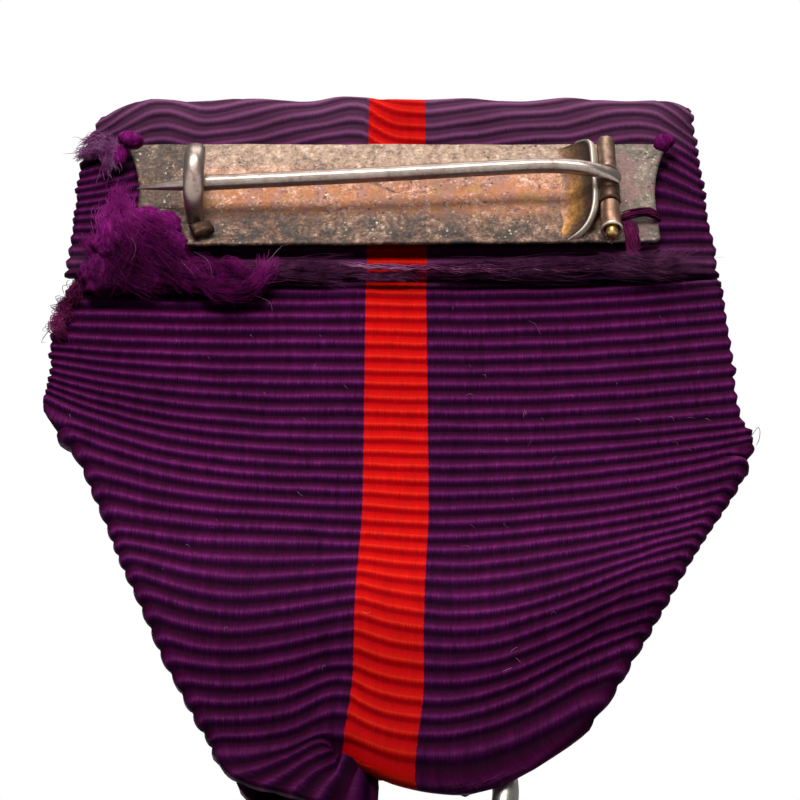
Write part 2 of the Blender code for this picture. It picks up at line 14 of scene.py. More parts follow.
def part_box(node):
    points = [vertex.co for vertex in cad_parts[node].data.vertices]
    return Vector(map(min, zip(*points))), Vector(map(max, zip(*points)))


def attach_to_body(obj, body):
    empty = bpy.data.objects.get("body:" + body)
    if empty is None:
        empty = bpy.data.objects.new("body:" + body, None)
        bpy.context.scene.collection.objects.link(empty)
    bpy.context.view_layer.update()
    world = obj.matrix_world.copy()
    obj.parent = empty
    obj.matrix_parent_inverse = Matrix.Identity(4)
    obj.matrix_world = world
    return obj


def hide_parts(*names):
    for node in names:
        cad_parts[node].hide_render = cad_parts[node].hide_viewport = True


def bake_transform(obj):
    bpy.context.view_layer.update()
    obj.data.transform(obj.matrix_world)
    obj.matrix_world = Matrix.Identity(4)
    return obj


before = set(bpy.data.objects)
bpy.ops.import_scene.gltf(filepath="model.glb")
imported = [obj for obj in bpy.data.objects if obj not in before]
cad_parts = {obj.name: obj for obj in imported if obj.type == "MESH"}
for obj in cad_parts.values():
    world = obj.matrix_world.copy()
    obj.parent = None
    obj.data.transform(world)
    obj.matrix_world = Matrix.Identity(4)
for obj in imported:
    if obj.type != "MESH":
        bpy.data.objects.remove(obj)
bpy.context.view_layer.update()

MM = 0.001
TAU = math.tau

# ---------------------------------------------------------------- node helpers


class Nodes:
    """A short way to write the node tree of a new material, or of the owner given."""

    def __init__(self, name, owner=None):
        self.owner = owner or bpy.data.materials.new(name)
        self.owner.use_nodes = True
        self.tree = self.owner.node_tree

    def make(self, kind, links, **settings):
        node = self.tree.nodes.new(kind)
        for key, value in settings.items():
            setattr(node, key, value)
        for key, value in links.items():
            self.join(value, node.inputs[key])
        return node

    def join(self, value, socket):
        if isinstance(value, bpy.types.NodeSocket):
            self.tree.links.new(value, socket)
        elif value is not None:
            socket.default_value = value

    def place(self, kind="Object"):
        return self.make("ShaderNodeTexCoord", {}).outputs[kind]

    def scaled(self, vector, scale, turn=(0, 0, 0)):
        links = {"Vector": vector, "Scale": scale, "Rotation": turn}
        return self.make("ShaderNodeMapping", links).outputs["Vector"]

    def noise(self, vector, scale, detail=3.0, rough=0.5, distortion=0.0, output="Fac"):
        links = {"Vector": vector, "Scale": scale, "Detail": detail, "Roughness": rough,
                 "Distortion": distortion}
        return self.make("ShaderNodeTexNoise", links).outputs[output]

    def cells(self, vector, scale):
        return self.make("ShaderNodeTexVoronoi", {"Vector": vector, "Scale": scale}).outputs["Distance"]

    def ramp(self, fac, *stops):
        """Colour ramp: each stop is (place, value or colour)."""
        node = self.make("ShaderNodeValToRGB", {"Fac": fac})
        elements = node.color_ramp.elements
        while len(elements) < len(stops):
            elements.new(0.5)
        for element, (spot, colour) in zip(elements, stops):
            element.position = spot
            element.color = (colour,) * 3 + (1,) if isinstance(colour, (int, float)) else (*colour, 1)
        return node.outputs["Color"]

    def math(self, operation, a, b=None, c=None):
        return self.make("ShaderNodeMath", {0: a, 1: b, 2: c}, operation=operation).outputs[0]

    def mul(self, a, b):
        return self.math("MULTIPLY", a, b)

    def add(self, a, b):
        return self.math("ADD", a, b)

    def total(self, *parts):
        """Sum of the values in (value, weight) pairs, each times its weight."""
        terms = [self.mul(value, weight) for value, weight in parts]
        result = terms[0]
        for term in terms[1:]:
            result = self.add(result, term)
        return result

    def swing(self, value, size):
        """How far the value lies from its middle, times size."""
        return self.mul(self.math("SUBTRACT", value, 0.5), size)

    def mix(self, fac, a, b, blend="MIX"):
        node = self.make("ShaderNodeMix", {}, data_type="RGBA", blend_type=blend)
        for socket, value in ((0, fac), (6, a), (7, b)):
            self.join((*value, 1) if isinstance(value, tuple) else value, node.inputs[socket])
        return node.outputs[2]

    def tint(self, colour, shade):
        """The colour times the shade."""
        return self.mix(1.0, colour, shade, "MULTIPLY")

    def split(self, vector):
        return self.make("ShaderNodeSeparateXYZ", {"Vector": vector}).outputs

    def bump(self, *layers):
        """Bumps from (height, strength, distance in millimetres), the coarse ones first."""
        normal = None
        for height, strength, distance in layers:
            node = self.make("ShaderNodeBump", {
                "Height": height, "Strength": strength, "Distance": distance * MM, "Normal": normal})
            normal = node.outputs["Normal"]
        return normal

    def finish(self, **sockets):
        """Sets the shader's own sockets, such as base_color, and gives back the material."""
        shader = self.tree.nodes["Principled BSDF"]
        names = {s.name.lower().replace(" ", "_"): s for s in shader.inputs}
        for key, value in sockets.items():
            self.join((*value, 1) if isinstance(value, tuple) else value, names[key])
        return self.owner


# ---------------------------------------------------------------- mesh helpers


def place_object(name, data):
    item = bpy.data.objects.new(name, data)
    bpy.context.scene.collection.objects.link(item)
    return item


def add_mesh(name, points, faces, material, uv=None, smooth=True):
    """A mesh piece from points in millimetres."""
    data = bpy.data.meshes.new(name)
    data.from_pydata((np.asarray(points, float) * MM).tolist(), [], [tuple(map(int, f)) for f in faces])
    if uv is not None:
        corner = np.empty(len(data.loops), np.int32)
        data.loops.foreach_get("vertex_index", corner)
        layer = data.uv_layers.new(name="UVMap")
        layer.data.foreach_set("uv", np.asarray(uv, np.float32)[corner].ravel())
    data.materials.append(material)
    if smooth:
        data.shade_smooth()
    return place_object(name, data)


class Heap:
    """Many closed shapes gathered into one mesh."""

    def __init__(self):
        self.points, self.faces, self.count = [], [], 0

    def put(self, points, faces):
        self.points.append(points)
        self.faces += [tuple(self.count + int(k) for k in face) for face in faces]
        self.count += len(points)

    def mesh(self, name, material):
        return add_mesh(name, np.vstack(self.points), self.faces, material)


def ring_of(count):
    """Angles of count places spread evenly round a circle."""
    return np.arange(count) * TAU / count


def circle(centre, radius, count):
    turn = ring_of(count)
    return np.stack([centre[0] + radius * np.cos(turn), centre[1] + radius * np.sin(turn)], -1)


def grid_faces(rows, columns, start=0, flip=False, wrap=False):
    """Quads of a grid of points, joined round its columns if wrap is set."""
    index = start + np.arange(rows * columns).reshape(rows, columns)
    if wrap:
        index = np.hstack([index, index[:, :1]])
    quads = np.stack([index[:-1, :-1], index[:-1, 1:], index[1:, 1:], index[1:, :-1]], -1)
    quads = quads.reshape(-1, 4)
    return quads[:, ::-1] if flip else quads


def tube_faces(rows, columns, flip=False):
    """Faces of a closed tube: the points of its rings, then one for its first end and one for its last."""
    faces = [tuple(f) for f in grid_faces(rows, columns, wrap=True)]
    first, last = rows * columns, rows * columns + 1
    for k in range(columns):
        after = (k + 1) % columns
        faces.append((first, after, k))
        faces.append((last, (rows - 1) * columns + k, (rows - 1) * columns + after))
    return [f[::-1] for f in faces] if flip else faces


def ball(rings, around):
    """Points of a unit ball: its rings from the +Z pole down, then its two poles."""
    polar = np.linspace(0, math.pi, rings + 2)[1:-1, None]
    turn = ring_of(around)
    points = np.stack([np.sin(polar) * np.cos(turn), np.sin(polar) * np.sin(turn),
                       np.cos(polar) * np.ones(around)], -1)
    return np.vstack([points.reshape(-1, 3), [(0, 0, 1.0), (0, 0, -1.0)]])


def unit(vectors):
    return vectors / np.maximum(np.linalg.norm(vectors, axis=-1, keepdims=True), 1e-9)


def closed_sheet(surface, half, edge=0.0):
    """Points and faces of a closed sheet: half its thickness stands on each side of the grid surface
    (rows, columns, 3). With an edge, its rim is thinned to that share, so that it looks rounded."""
    rows, columns = surface.shape[:2]
    half = np.broadcast_to(np.asarray(half, float), (rows, columns)).copy()
    if edge:
        for line in (np.s_[0, :], np.s_[-1, :], np.s_[:, 0], np.s_[:, -1]):
            half[line] *= edge
    normals = unit(np.cross(np.gradient(surface, axis=0), np.gradient(surface, axis=1))) * half[..., None]
    points = np.concatenate([(surface + normals).reshape(-1, 3), (surface - normals).reshape(-1, 3)])
    count = rows * columns
    index = np.arange(count).reshape(rows, columns)
    rim = np.concatenate([index[0, :], index[1:, -1], index[-1, -2::-1], index[-2:0:-1, 0]])
    after = np.roll(rim, -1)
    sides = np.stack([after, after + count, rim + count, rim], -1)
    return points, np.concatenate([
        grid_faces(rows, columns, flip=True), grid_faces(rows, columns, count), sides])


def shell(name, surface, half, material, uv=None, edge=0.0):
    """A closed sheet as one piece."""
    points, faces = closed_sheet(surface, half, edge)
    if uv is not None:
        uv = np.concatenate([uv.reshape(-1, 2)] * 2)
    return add_mesh(name, points, faces, material, uv)


def length_along(path):
    """Distance from the path's start to each of its points."""
    return np.concatenate([[0], np.cumsum(np.linalg.norm(np.diff(path, axis=0), axis=1))])


def spline(points, count):
    """Evenly spaced points on a smooth curve through the given ones."""
    spots = np.asarray(points, float)
    spots = np.vstack([2 * spots[0] - spots[1], spots, 2 * spots[-1] - spots[-2]])
    fine = []
    t = np.linspace(0, 1, 12, endpoint=False)[:, None]
    for a, b, c, d in zip(spots, spots[1:], spots[2:], spots[3:]):
        fine.append(0.5 * (2 * b + (c - a) * t + (2 * a - 5 * b + 4 * c - d) * t**2
                           + (3 * b - a - 3 * c + d) * t**3))
    fine = np.vstack([*fine, spots[-2:-1]])
    along = length_along(fine)
    even = np.linspace(0, along[-1], count)
    return np.stack([np.interp(even, along, fine[:, k]) for k in range(fine.shape[1])], -1)


def sweep(name, path, wide, thick, material, side=(0, 0, 1), sides=20, power=2.0):
    """A closed bar along the path: wide runs along the side direction, thick across it."""
    count = len(path)
    wide = np.broadcast_to(np.asarray(wide, float), count)
    thick = np.broadcast_to(np.asarray(thick, float), count)
    tangent = unit(np.gradient(path, axis=0))
    across = unit(np.asarray(side, float) - tangent * (tangent @ np.asarray(side, float))[:, None])
    out = np.cross(tangent, across)
    cos, sin = np.cos(ring_of(sides)), np.sin(ring_of(sides))
    cos = np.sign(cos) * np.abs(cos) ** (2 / power)
    sin = np.sign(sin) * np.abs(sin) ** (2 / power)
    rings = (path[:, None] + across[:, None] * (wide[:, None] * cos)[..., None]
             + out[:, None] * (thick[:, None] * sin)[..., None])
    points = np.concatenate([rings.reshape(-1, 3), path[:1], path[-1:]])
    return add_mesh(name, points, tube_faces(count, sides), material)


def turned(name, profile, centre, axis, material, segments=64, shape=None):
    """A solid turned about an axis through centre. The profile is (radius, height along the axis).
    A closed profile makes a ring; one that starts and ends on the axis makes a solid."""
    profile = np.asarray(profile, float)
    on_axis = profile[0, 0] < 1e-6
    body = profile[1:-1] if on_axis else profile
    axis = np.asarray(axis, float)
    side = np.cross(axis, (0.31, 0.52, 0.79))
    side /= np.linalg.norm(side)
    if abs(axis[1]) > 0.9:
        side = np.array([1.0, 0, 0])
    other = np.cross(axis, side)
    turn = ring_of(segments)
    around = np.cos(turn)[:, None] * side + np.sin(turn)[:, None] * other
    radius, height = (np.repeat(body[:, k][None], segments, 0) for k in (0, 1))
    if shape:
        radius, height = shape(turn[:, None], radius, height)
    points = np.asarray(centre) + around[:, None] * radius[..., None] + axis * height[..., None]
    points = points.reshape(-1, 3)
    count = len(body)
    index = np.arange(segments * count).reshape(segments, count)
    index = np.vstack([index, index[:1]])
    if not on_axis:
        index = np.hstack([index, index[:, :1]])
    quads = np.stack([index[:-1, :-1], index[1:, :-1], index[1:, 1:], index[:-1, 1:]], -1).reshape(-1, 4)
    faces = [tuple(f) for f in quads]
    if on_axis:
        ends = [np.asarray(centre) + axis * profile[0, 1], np.asarray(centre) + axis * profile[-1, 1]]
        points = np.vstack([points, *ends])
        top, low = segments * count, segments * count + 1
        for k in range(segments):
            faces.append((top, index[k + 1, 0], index[k, 0]))
            faces.append((low, index[k, -1], index[k + 1, -1]))
    return add_mesh(name, points, faces, material)


def strands(name, lines, radii, material, resolution=0):
    """Many fine round fibres as one curve piece, each a list of points in millimetres."""
    data = bpy.data.curves.new(name, "CURVE")
    data.dimensions = "3D"
    thickest = max(radii)
    data.bevel_depth = thickest * MM
    data.bevel_resolution = resolution
    data.use_fill_caps = True
    for line, radius in zip(lines, radii):
        count = len(line)
        thread = data.splines.new("POLY")
        thread.points.add(count - 1)
        flat = np.ones((count, 4))
        flat[:, :3] = np.asarray(line) * MM
        thread.points.foreach_set("co", flat.ravel())
        from_end = np.minimum(np.arange(count) + 1, count - np.arange(count))
        thread.points.foreach_set("radius", radius / thickest * np.clip(from_end / 3, 0.35, 1))
    data.materials.append(material)
    return place_object(name, data)


def wave(points, scale, seed=0.0):
    """Smooth noise between -1 and 1 at each point."""
    flat = np.asarray(points, float).reshape(-1, 3)
    values = [noise.noise(Vector((x * scale + seed, y * scale - seed, z * scale + 2 * seed)))
              for x, y, z in flat]
    return np.array(values).reshape(np.asarray(points).shape[:-1])


def ease(value, start, end):
    """0 before start, 1 after end, smooth between."""
    t = np.clip((np.asarray(value, float) - start) / (end - start), 0, 1)
    return t * t * (3 - 2 * t)


def bell(value, middle, width):
    """1 at the middle, falling off smoothly over the width on either side."""
    return np.exp(-(((value - middle) / width) ** 2))


def table(value, *knots):
    """Value from a short list of (place, amount), with the places rising."""
    places, amounts = zip(*knots)
    return np.interp(value, places, amounts)


def soft_table(value, width, *knots):
    """The same with its corners rounded over the given width."""
    spread = np.linspace(-1.5, 1.5, 13)
    weight = np.exp(-2 * spread**2)
    return sum(w * table(value + width * d, *knots) for d, w in zip(spread, weight)) / weight.sum()


def attach(piece, body, slot, *nodes):
    """Lets the piece ride its body, and hides the CAD parts that it stands for."""
    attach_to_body(piece, body)
    if nodes:
        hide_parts(*nodes)
    return piece


# ---------------------------------------------------------------- materials

STRIPE_HALF = 1.72
BARE_SILVER = (0.72, 0.64, 0.56)


def ribbon_material(name, striped=True):
    """Ribbed silk: UV x is millimetres across the ribbon and UV y is ribs along it.
    Each rib's colour holds painted light: redder on its upper side, bluer below, with a fuzzy painted
    highlight between and painted shade in its valley."""
    n = Nodes(name)
    uv, place = n.place("UV"), n.place()
    across, along, _ = n.split(uv)
    sideways, forward, up = n.split(place)
    streak = n.noise(n.scaled(uv, (13, 0.8, 1)), 1.0, 2.0, 0.7)
    fine = n.noise(n.scaled(uv, (26, 3.0, 1)), 1.0, 2.0, 0.7)
    bundle = n.noise(n.scaled(uv, (3.1, 0.25, 1)), 1.0, 2.0, 0.5)
    patch = n.noise(place, 150, 3.0, 0.6)
    phase = n.math("FRACT", n.add(along, n.add(n.swing(streak, 0.15), 0.5)))
    tone = n.mul(n.total((streak, 0.9), (fine, 0.75), (bundle, 0.5), (patch, 0.5)), 0.378)
    shade = n.ramp(tone, (0.36, 0.34), (0.50, 0.92), (0.64, 1.85))
    # Painted light by rib phase: a painted highlight line, redder above it and bluer below, and painted shade
    # in the valley.
    purple_painted_light = n.ramp(phase, (0.0, (0.013, 0.0005, 0.011)), (0.11, (0.020, 0.0007, 0.021)),
                    (0.25, (0.060, 0.0034, 0.060)), (0.37, (0.140, 0.0165, 0.110)),
                    (0.47, (0.104, 0.0070, 0.074)), (0.60, (0.056, 0.0018, 0.036)),
                    (0.75, (0.030, 0.0007, 0.018)), (0.92, (0.014, 0.0003, 0.010)))
    colour = n.tint(purple_painted_light, shade)
    # Painted sheen: paler, greyer rib crests on the top fold, and on the rear side in the band under the
    # plate.
    low, lower = n.mul(up, -100.0), n.mul(up, -20.0)
    rear = n.ramp(n.mul(forward, 200.0), (0.32, 1.0), (0.42, 0.0))
    top_sheen = n.ramp(n.mul(up, 100.0), (0.46, 0.0), (0.62, 0.42), (0.88, 0.66))
    band_sheen = n.ramp(low, (0.33, 0.0), (0.40, 0.22), (0.58, 0.22), (0.66, 0.0))
    # Together these masks mark where the painted sheen goes.
    worn = n.add(top_sheen, n.mul(band_sheen, rear))
    if striped:
        # The stripe's red has the same painted highlight and painted valley shade.
        red_painted_light = n.ramp(phase, (0.0, (0.36, 0.0002, 0.0012)), (0.18, (0.54, 0.0006, 0.0015)),
                     (0.30, (0.82, 0.014, 0.005)), (0.36, (0.95, 0.030, 0.010)),
                     (0.44, (0.80, 0.008, 0.003)), (0.70, (0.60, 0.001, 0.0012)),
                     (0.92, (0.42, 0.0002, 0.0010)))
        red_painted_light = n.tint(red_painted_light, n.ramp(tone, (0.36, 0.72), (0.50, 0.95), (0.64, 1.18)))
        wander = n.math("MULTIPLY_ADD", n.noise(n.scaled(uv, (1.0, 2.0, 1)), 3.0, 2.0), 0.16, -0.08)
        past_edge = n.math("SUBTRACT", n.math("ABSOLUTE", n.add(across, wander)), STRIPE_HALF)
        stripe = n.ramp(n.math("MULTIPLY_ADD", past_edge, 5.0, 0.5), (0.38, 1.0), (0.62, 0.0))
        colour = n.mix(stripe, colour, red_painted_light)
        worn = n.mul(worn, n.math("SUBTRACT", 1.0, stripe))
    # The pale colour is the painted sheen, laid on the rib crests.
    pale = n.mix(n.ramp(phase, (0.14, 0.0), (0.36, 1.0), (0.60, 0.1)),
                 (0.085, 0.030, 0.068), (0.36, 0.14, 0.29))
    colour = n.mix(worn, colour, pale)
    # Painted shade: darker in the band below the plate on the rear side, and darker towards the ring, where
    # the light falls off; also darker near the upper edges.
    painted_shade = n.ramp(lower, (0.0, 1.0), (0.08, 1.0), (0.098, 0.8), (0.122, 0.62), (0.148, 0.72), (0.168, 1.0),
                  (0.52, 1.0), (0.78, 0.66))
    both_sides = n.ramp(lower, (0.17, 0.0), (0.20, 1.0))
    painted_shade = n.mix(n.math("MAXIMUM", rear, both_sides), (1.0, 1.0, 1.0), painted_shade)
    edge = n.ramp(n.mul(n.math("ABSOLUTE", sideways), 50.0), (0.66, 0.0), (0.88, 0.72))
    edge = n.mul(edge, n.ramp(lower, (0.14, 1.0), (0.18, 0.0)))
    colour = n.tint(colour, n.mix(edge, painted_shade, (0.74, 0.74, 0.74)))
    return n.finish(base_color=colour, roughness=0.6, normal=n.bump((streak, 0.5, 0.06), (fine, 0.4, 0.03)),
                    specular_ior_level=0.03, specular_tint=(1.0, 0.4, 0.9))


def painted_foot_shade(n, place, colour):
    """Painted shade: darkens loose silk towards its foot, below the plate, apart from the tuft that curls up
    beside it.
    """
    x, _, z = n.split(place)
    foot = n.ramp(n.mul(z, -100.0), (0.40, 1.12), (0.56, 0.72), (0.72, 0.42))
    tuft = n.ramp(n.math("MULTIPLY_ADD", x, 50.0, 1.0), (0.38, 0.0), (0.48, 1.0))
    return n.tint(colour, n.mix(tuft, foot, (0.95, 0.95, 0.95)))


def yarn_material(name, dark, mid, light, shade_at_foot=False):
    """Loose silk fibres."""
    n = Nodes(name)
    place = n.place()
    tone = n.total((n.noise(place, 900, 3.0, 0.6), 0.5), (n.noise(place, 260, 2.0, 0.5), 0.5))
    colour = n.ramp(tone, (0.38, dark), (0.5, mid), (0.64, light))
    if shade_at_foot:
        # Painted shade towards the foot.
        colour = painted_foot_shade(n, place, colour)
    return n.finish(base_color=colour, roughness=0.7, normal=n.bump((n.noise(place, 4200, 2.0), 0.3, 0.02)),
                    specular_ior_level=0.08, specular_tint=(1.0, 0.5, 0.95))


def felt_material(name, dark, mid, light):
    """Matted silk: fine brushed streaks over soft lumps."""
    n = Nodes(name)
    place = n.place()
    bent = n.mix(0.0022, place, n.noise(place, 330, 2.0, output="Color"), "ADD")
    brushed = n.noise(n.scaled(bent, (5200, 3000, 900), (0, 0.6, 0)), 1.0, 3.0, 0.6)
    broad = n.noise(place, 420, 4.0, 0.6)
    tone = n.total((brushed, 0.55), (broad, 0.45))
    # Painted shade towards the foot.
    colour = painted_foot_shade(n, place, n.ramp(tone, (0.37, dark), (0.5, mid), (0.63, light)))
    return n.finish(base_color=colour, roughness=0.85, normal=n.bump((broad, 0.5, 0.2), (brushed, 0.7, 0.05)),
                    specular_ior_level=0.04)


def plate_material(name):
    """Old silver under a patina of brown, orange, pink and grey, with pale and dark specks."""
    n = Nodes(name)
    place = n.place()
    x, _, z = n.split(place)
    across, up = n.mul(x, 50.0), n.mul(z, 100.0)
    broad = n.noise(n.scaled(place, (1, 1, 1.3)), 230, 4.0, 0.62, 0.5)
    blotch = n.noise(place, 760, 5.0, 0.7, 0.4)
    grain = n.noise(place, 4600, 3.0, 0.8)
    coarse = n.noise(place, 1900, 3.0, 0.7)
    tone = n.total((broad, 0.16), (blotch, 0.26), (grain, 0.30), (coarse, 0.28))
    colour = n.ramp(tone, (0.42, (0.055, 0.026, 0.020)), (0.465, (0.24, 0.108, 0.074)),
                    (0.50, (0.47, 0.228, 0.155)), (0.53, (0.60, 0.325, 0.230)),
                    (0.56, (0.72, 0.46, 0.34)), (0.60, (0.86, 0.69, 0.56)))
    middle = n.ramp(n.math("MULTIPLY_ADD", up, 1.1, 0.5), (0.10, 0.0), (0.30, 1.0), (0.56, 1.0), (0.74, 0.0))
    rust = n.ramp(n.noise(n.scaled(place, (1, 1, 1.1)), 520, 4.0, 0.75, 0.8), (0.45, 0.0), (0.53, 0.9))
    gold = n.ramp(n.noise(place, 700, 3.0, 0.65, 0.6), (0.56, 0.0), (0.66, 0.75))
    pink = n.ramp(n.noise(n.scaled(place, (1.3, 1, 1)), 420, 3.0, 0.6, 0.3), (0.50, 0.0), (0.60, 0.5))
    for mask, dark, light in (
            (n.mul(rust, middle), (0.16, 0.034, 0.012), (0.78, 0.33, 0.13)),
            (n.mul(gold, middle), (0.22, 0.11, 0.03), (0.62, 0.38, 0.13)),
            (pink, (0.15, 0.065, 0.075), (0.46, 0.27, 0.26))):
        colour = n.mix(mask, colour, n.mix(grain, dark, light))
    tan = n.ramp(tone, (0.42, (0.140, 0.090, 0.062)), (0.48, (0.36, 0.245, 0.178)),
                 (0.54, (0.53, 0.385, 0.290)), (0.60, (0.78, 0.62, 0.49)))
    grey = n.ramp(tone, (0.43, (0.016, 0.011, 0.009)), (0.485, (0.062, 0.040, 0.030)),
                  (0.535, (0.140, 0.092, 0.068)), (0.60, (0.42, 0.31, 0.23)))
    green = n.ramp(tone, (0.42, (0.050, 0.045, 0.036)), (0.49, (0.135, 0.115, 0.092)),
                   (0.54, (0.215, 0.185, 0.155)), (0.60, (0.42, 0.36, 0.31)))
    rosy = n.mix(grain, (0.085, 0.035, 0.042), (0.36, 0.19, 0.19))
    green = n.mix(n.ramp(n.noise(place, 620, 4.0, 0.75), (0.50, 0.0), (0.58, 0.75)), green, rosy)
    low = n.ramp(n.mul(up, -1.0), (0.12, 0.0), (0.21, 0.88), (0.32, 1.0), (0.40, 0.95))
    for mask, cover in (
            (n.ramp(up, (0.16, 0.0), (0.27, 0.9)), tan),
            (n.mul(low, n.ramp(blotch, (0.42, 1.0), (0.60, 0.72))), grey),
            (n.ramp(n.mul(across, -1.0), (0.53, 0.0), (0.63, 0.92)), grey),
            (n.ramp(n.add(across, n.swing(broad, 0.1)), (0.60, 0.0), (0.66, 0.92)), green)):
        colour = n.mix(mask, colour, cover)
    warp = n.noise(place, 1600, 2.0, output="Color")
    warped = n.make("ShaderNodeVectorMath", {0: warp, 1: (0.0003,) * 3, 2: place}, operation="MULTIPLY_ADD")
    sparse = n.ramp(n.noise(place, 560, 2.0), (0.49, 0.0), (0.62, 0.9))
    for scale, size, amount, speck in (
            (1500, 0.15, 0.9, (0.80, 0.68, 0.52)), (2900, 0.26, 0.7, (0.74, 0.60, 0.46)),
            (2300, 0.24, 0.9, (0.012, 0.008, 0.007)), (1300, 0.2, 0.8, (0.03, 0.012, 0.010))):
        spot = n.ramp(n.cells(warped.outputs[0], scale), (size * 0.6, 1.0), (size, 0.0))
        colour = n.mix(n.mul(n.mul(spot, sparse), amount), colour, speck)
    normal = n.bump((broad, 0.12, 0.12), (blotch, 0.35, 0.06), (coarse, 0.35, 0.03), (grain, 0.3, 0.015))
    return n.finish(base_color=colour, roughness=n.ramp(blotch, (0.35, 0.52), (0.6, 0.72)),
                    metallic=n.ramp(tone, (0.44, 0.25), (0.6, 0.7)), normal=normal)


def wire_material(name, light, dark, rough, scale=1.0, rim=None):
    """Worn metal with faint stains, fine scratches and darker tarnish. With a rim, UV y between its two
    values turns it to bare bright silver."""
    n = Nodes(name)
    place = n.place()
    stain = n.noise(place, 420 * scale, 4.0, 0.62, 0.3)
    grain = n.noise(place, 3600 * scale, 3.0, 0.7)
    scratches = n.noise(n.scaled(place, (500, 4200, 4200)), 1.0, 2.0, 0.6)
    tone = n.total((stain, 0.7), (grain, 0.3))
    specks = n.ramp(n.cells(place, 2600 * scale), (0.08, 0.7), (0.18, 0.0))
    colour = n.mix(specks, n.ramp(tone, (0.36, dark), (0.54, light)), tuple(0.55 * c for c in dark))
    if rim:
        along = n.add(n.split(n.place("UV"))[1], n.swing(stain, 0.06))
        colour = n.mix(n.ramp(along, (rim[0], 0.0), (rim[1], 0.9)), colour, BARE_SILVER)
    return n.finish(base_color=colour, metallic=1.0,
                    roughness=n.ramp(tone, (0.38, rough[1]), (0.6, rough[0])),
                    normal=n.bump((stain, 0.2, 0.08), (scratches, 0.22, 0.02), (grain, 0.2, 0.015)))


def stop_material(name):
    """The hinge stop's sheet: gold, then brown towards its bare bright rim. UV y runs from root to rim."""
    n = Nodes(name)
    place = n.place()
    stain = n.noise(place, 700, 4.0, 0.7, 0.4)
    grain = n.noise(place, 3800, 3.0, 0.75)
    rise = n.split(n.place("UV"))[1]
    drift = n.add(rise, n.swing(stain, 0.35))
    colour = n.ramp(drift, (0.0, (0.30, 0.155, 0.10)), (0.20, (0.40, 0.20, 0.115)),
                    (0.34, (0.55, 0.26, 0.07)), (0.48, (0.36, 0.175, 0.052)),
                    (0.64, (0.16, 0.086, 0.042)), (0.86, (0.062, 0.032, 0.026)))
    brown = n.ramp(drift, (0.1, (0.27, 0.15, 0.12)), (0.45, (0.105, 0.058, 0.042)),
                   (0.9, (0.05, 0.030, 0.022)))
    colour = n.mix(n.ramp(n.mul(n.split(place)[2], 100.0), (0.0, 0.0), (0.14, 0.8)), colour, brown)
    colour = n.tint(colour, n.ramp(grain, (0.35, 0.55), (0.62, 1.35)))
    colour = n.mix(n.ramp(rise, (0.90, 0.0), (0.94, 0.95)), colour, BARE_SILVER)
    return n.finish(base_color=colour, roughness=n.ramp(stain, (0.35, 0.42), (0.6, 0.58)), metallic=0.75,
                    normal=n.bump((stain, 0.25, 0.06), (grain, 0.25, 0.015)))


RIBBON = ribbon_material("ribbed_silk")
RIBBON_PLAIN = ribbon_material("ribbed_silk_plain", striped=False)
# Loose yarn with painted shade towards its foot.
YARN = yarn_material("loose_yarn", (0.075, 0.001, 0.052), (0.190, 0.005, 0.130), (0.35, 0.024, 0.25),
                     shade_at_foot=True)
# A darker copy of the loose yarn: painted shade for fuzz that lies under the plate.
YARN_SHADED = yarn_material("loose_yarn_dark", (0.034, 0.006, 0.028), (0.090, 0.020, 0.070),
                          (0.20, 0.055, 0.155))
SEAM = yarn_material("seam_thread", (0.09, 0.012, 0.062), (0.22, 0.055, 0.16), (0.40, 0.16, 0.31))
FELT = felt_material("matted_silk", (0.035, 0.0012, 0.026), (0.155, 0.0045, 0.110), (0.31, 0.018, 0.225))
# A darker copy of the matted silk: painted shade for the felt under the plate.
FELT_SHADED = felt_material("matted_silk_dark", (0.016, 0.0008, 0.014), (0.045, 0.0025, 0.034),
                          (0.10, 0.008, 0.078))
THREAD = yarn_material("sewing_thread", (0.04, 0.002, 0.024), (0.13, 0.008, 0.062), (0.26, 0.03, 0.15))
PALE_THREAD = yarn_material("pale_thread", (0.15, 0.022, 0.12), (0.34, 0.13, 0.31), (0.72, 0.50, 0.70))
LINT = yarn_material("lint", (0.16, 0.06, 0.14), (0.30, 0.18, 0.27), (0.55, 0.45, 0.50))
PATINA = plate_material("patinated_silver")
SHEET = wire_material("tarnished_sheet", (0.38, 0.26, 0.19), (0.15, 0.085, 0.062), (0.34, 0.52))
STOP_SHEET = stop_material("stop_sheet_silver")
KNUCKLE = wire_material("knuckle_silver", (0.42, 0.25, 0.165), (0.13, 0.07, 0.052), (0.3, 0.5),
                        rim=(0.93, 0.96))
PIN_STEEL = wire_material("pin_steel", (0.36, 0.30, 0.26), (0.20, 0.145, 0.13), (0.28, 0.40))
# A darkened copy of worn steel: painted shade for the roll under the pin and the catch's foot.
STEEL_SHADED = wire_material("pin_roll_steel", (0.105, 0.060, 0.042), (0.040, 0.022, 0.017), (0.42, 0.6))
HOOK = wire_material("hook_silver", (0.40, 0.32, 0.28), (0.20, 0.125, 0.115), (0.3, 0.46))
BRASS = wire_material("old_brass", (0.52, 0.36, 0.13), (0.20, 0.125, 0.05), (0.28, 0.5))
SILVER = wire_material("medal_silver", (0.60, 0.58, 0.54), (0.28, 0.25, 0.22), (0.24, 0.44), scale=0.6)


# ---------------------------------------------------------------- ribbon

RIBBON_WIDTH = 38.0
ROWS_PER_RIB = 11
VALLEY, RIB_RISE = 0.095, 0.21
MAIN_COLUMNS, CURL_COLUMNS = 73, 9
CURL_WIDTH = 1.7  # how much of the cloth each turned-in edge takes up
FLAP_FOOT = -5.5
LOOP_MIDDLE = (1.15, -37.8)  # (y, z) where the front run becomes the back run
PINCHES = ((1, (-2.9, -38.2)), (-1, (-2.4, -38.4)))  # (x, z) of the pinch on the back and front run
FAN_RIBS = 3
RING_HOLE = (0.6, -40.0, 3.35)  # x, z and the room for cloth

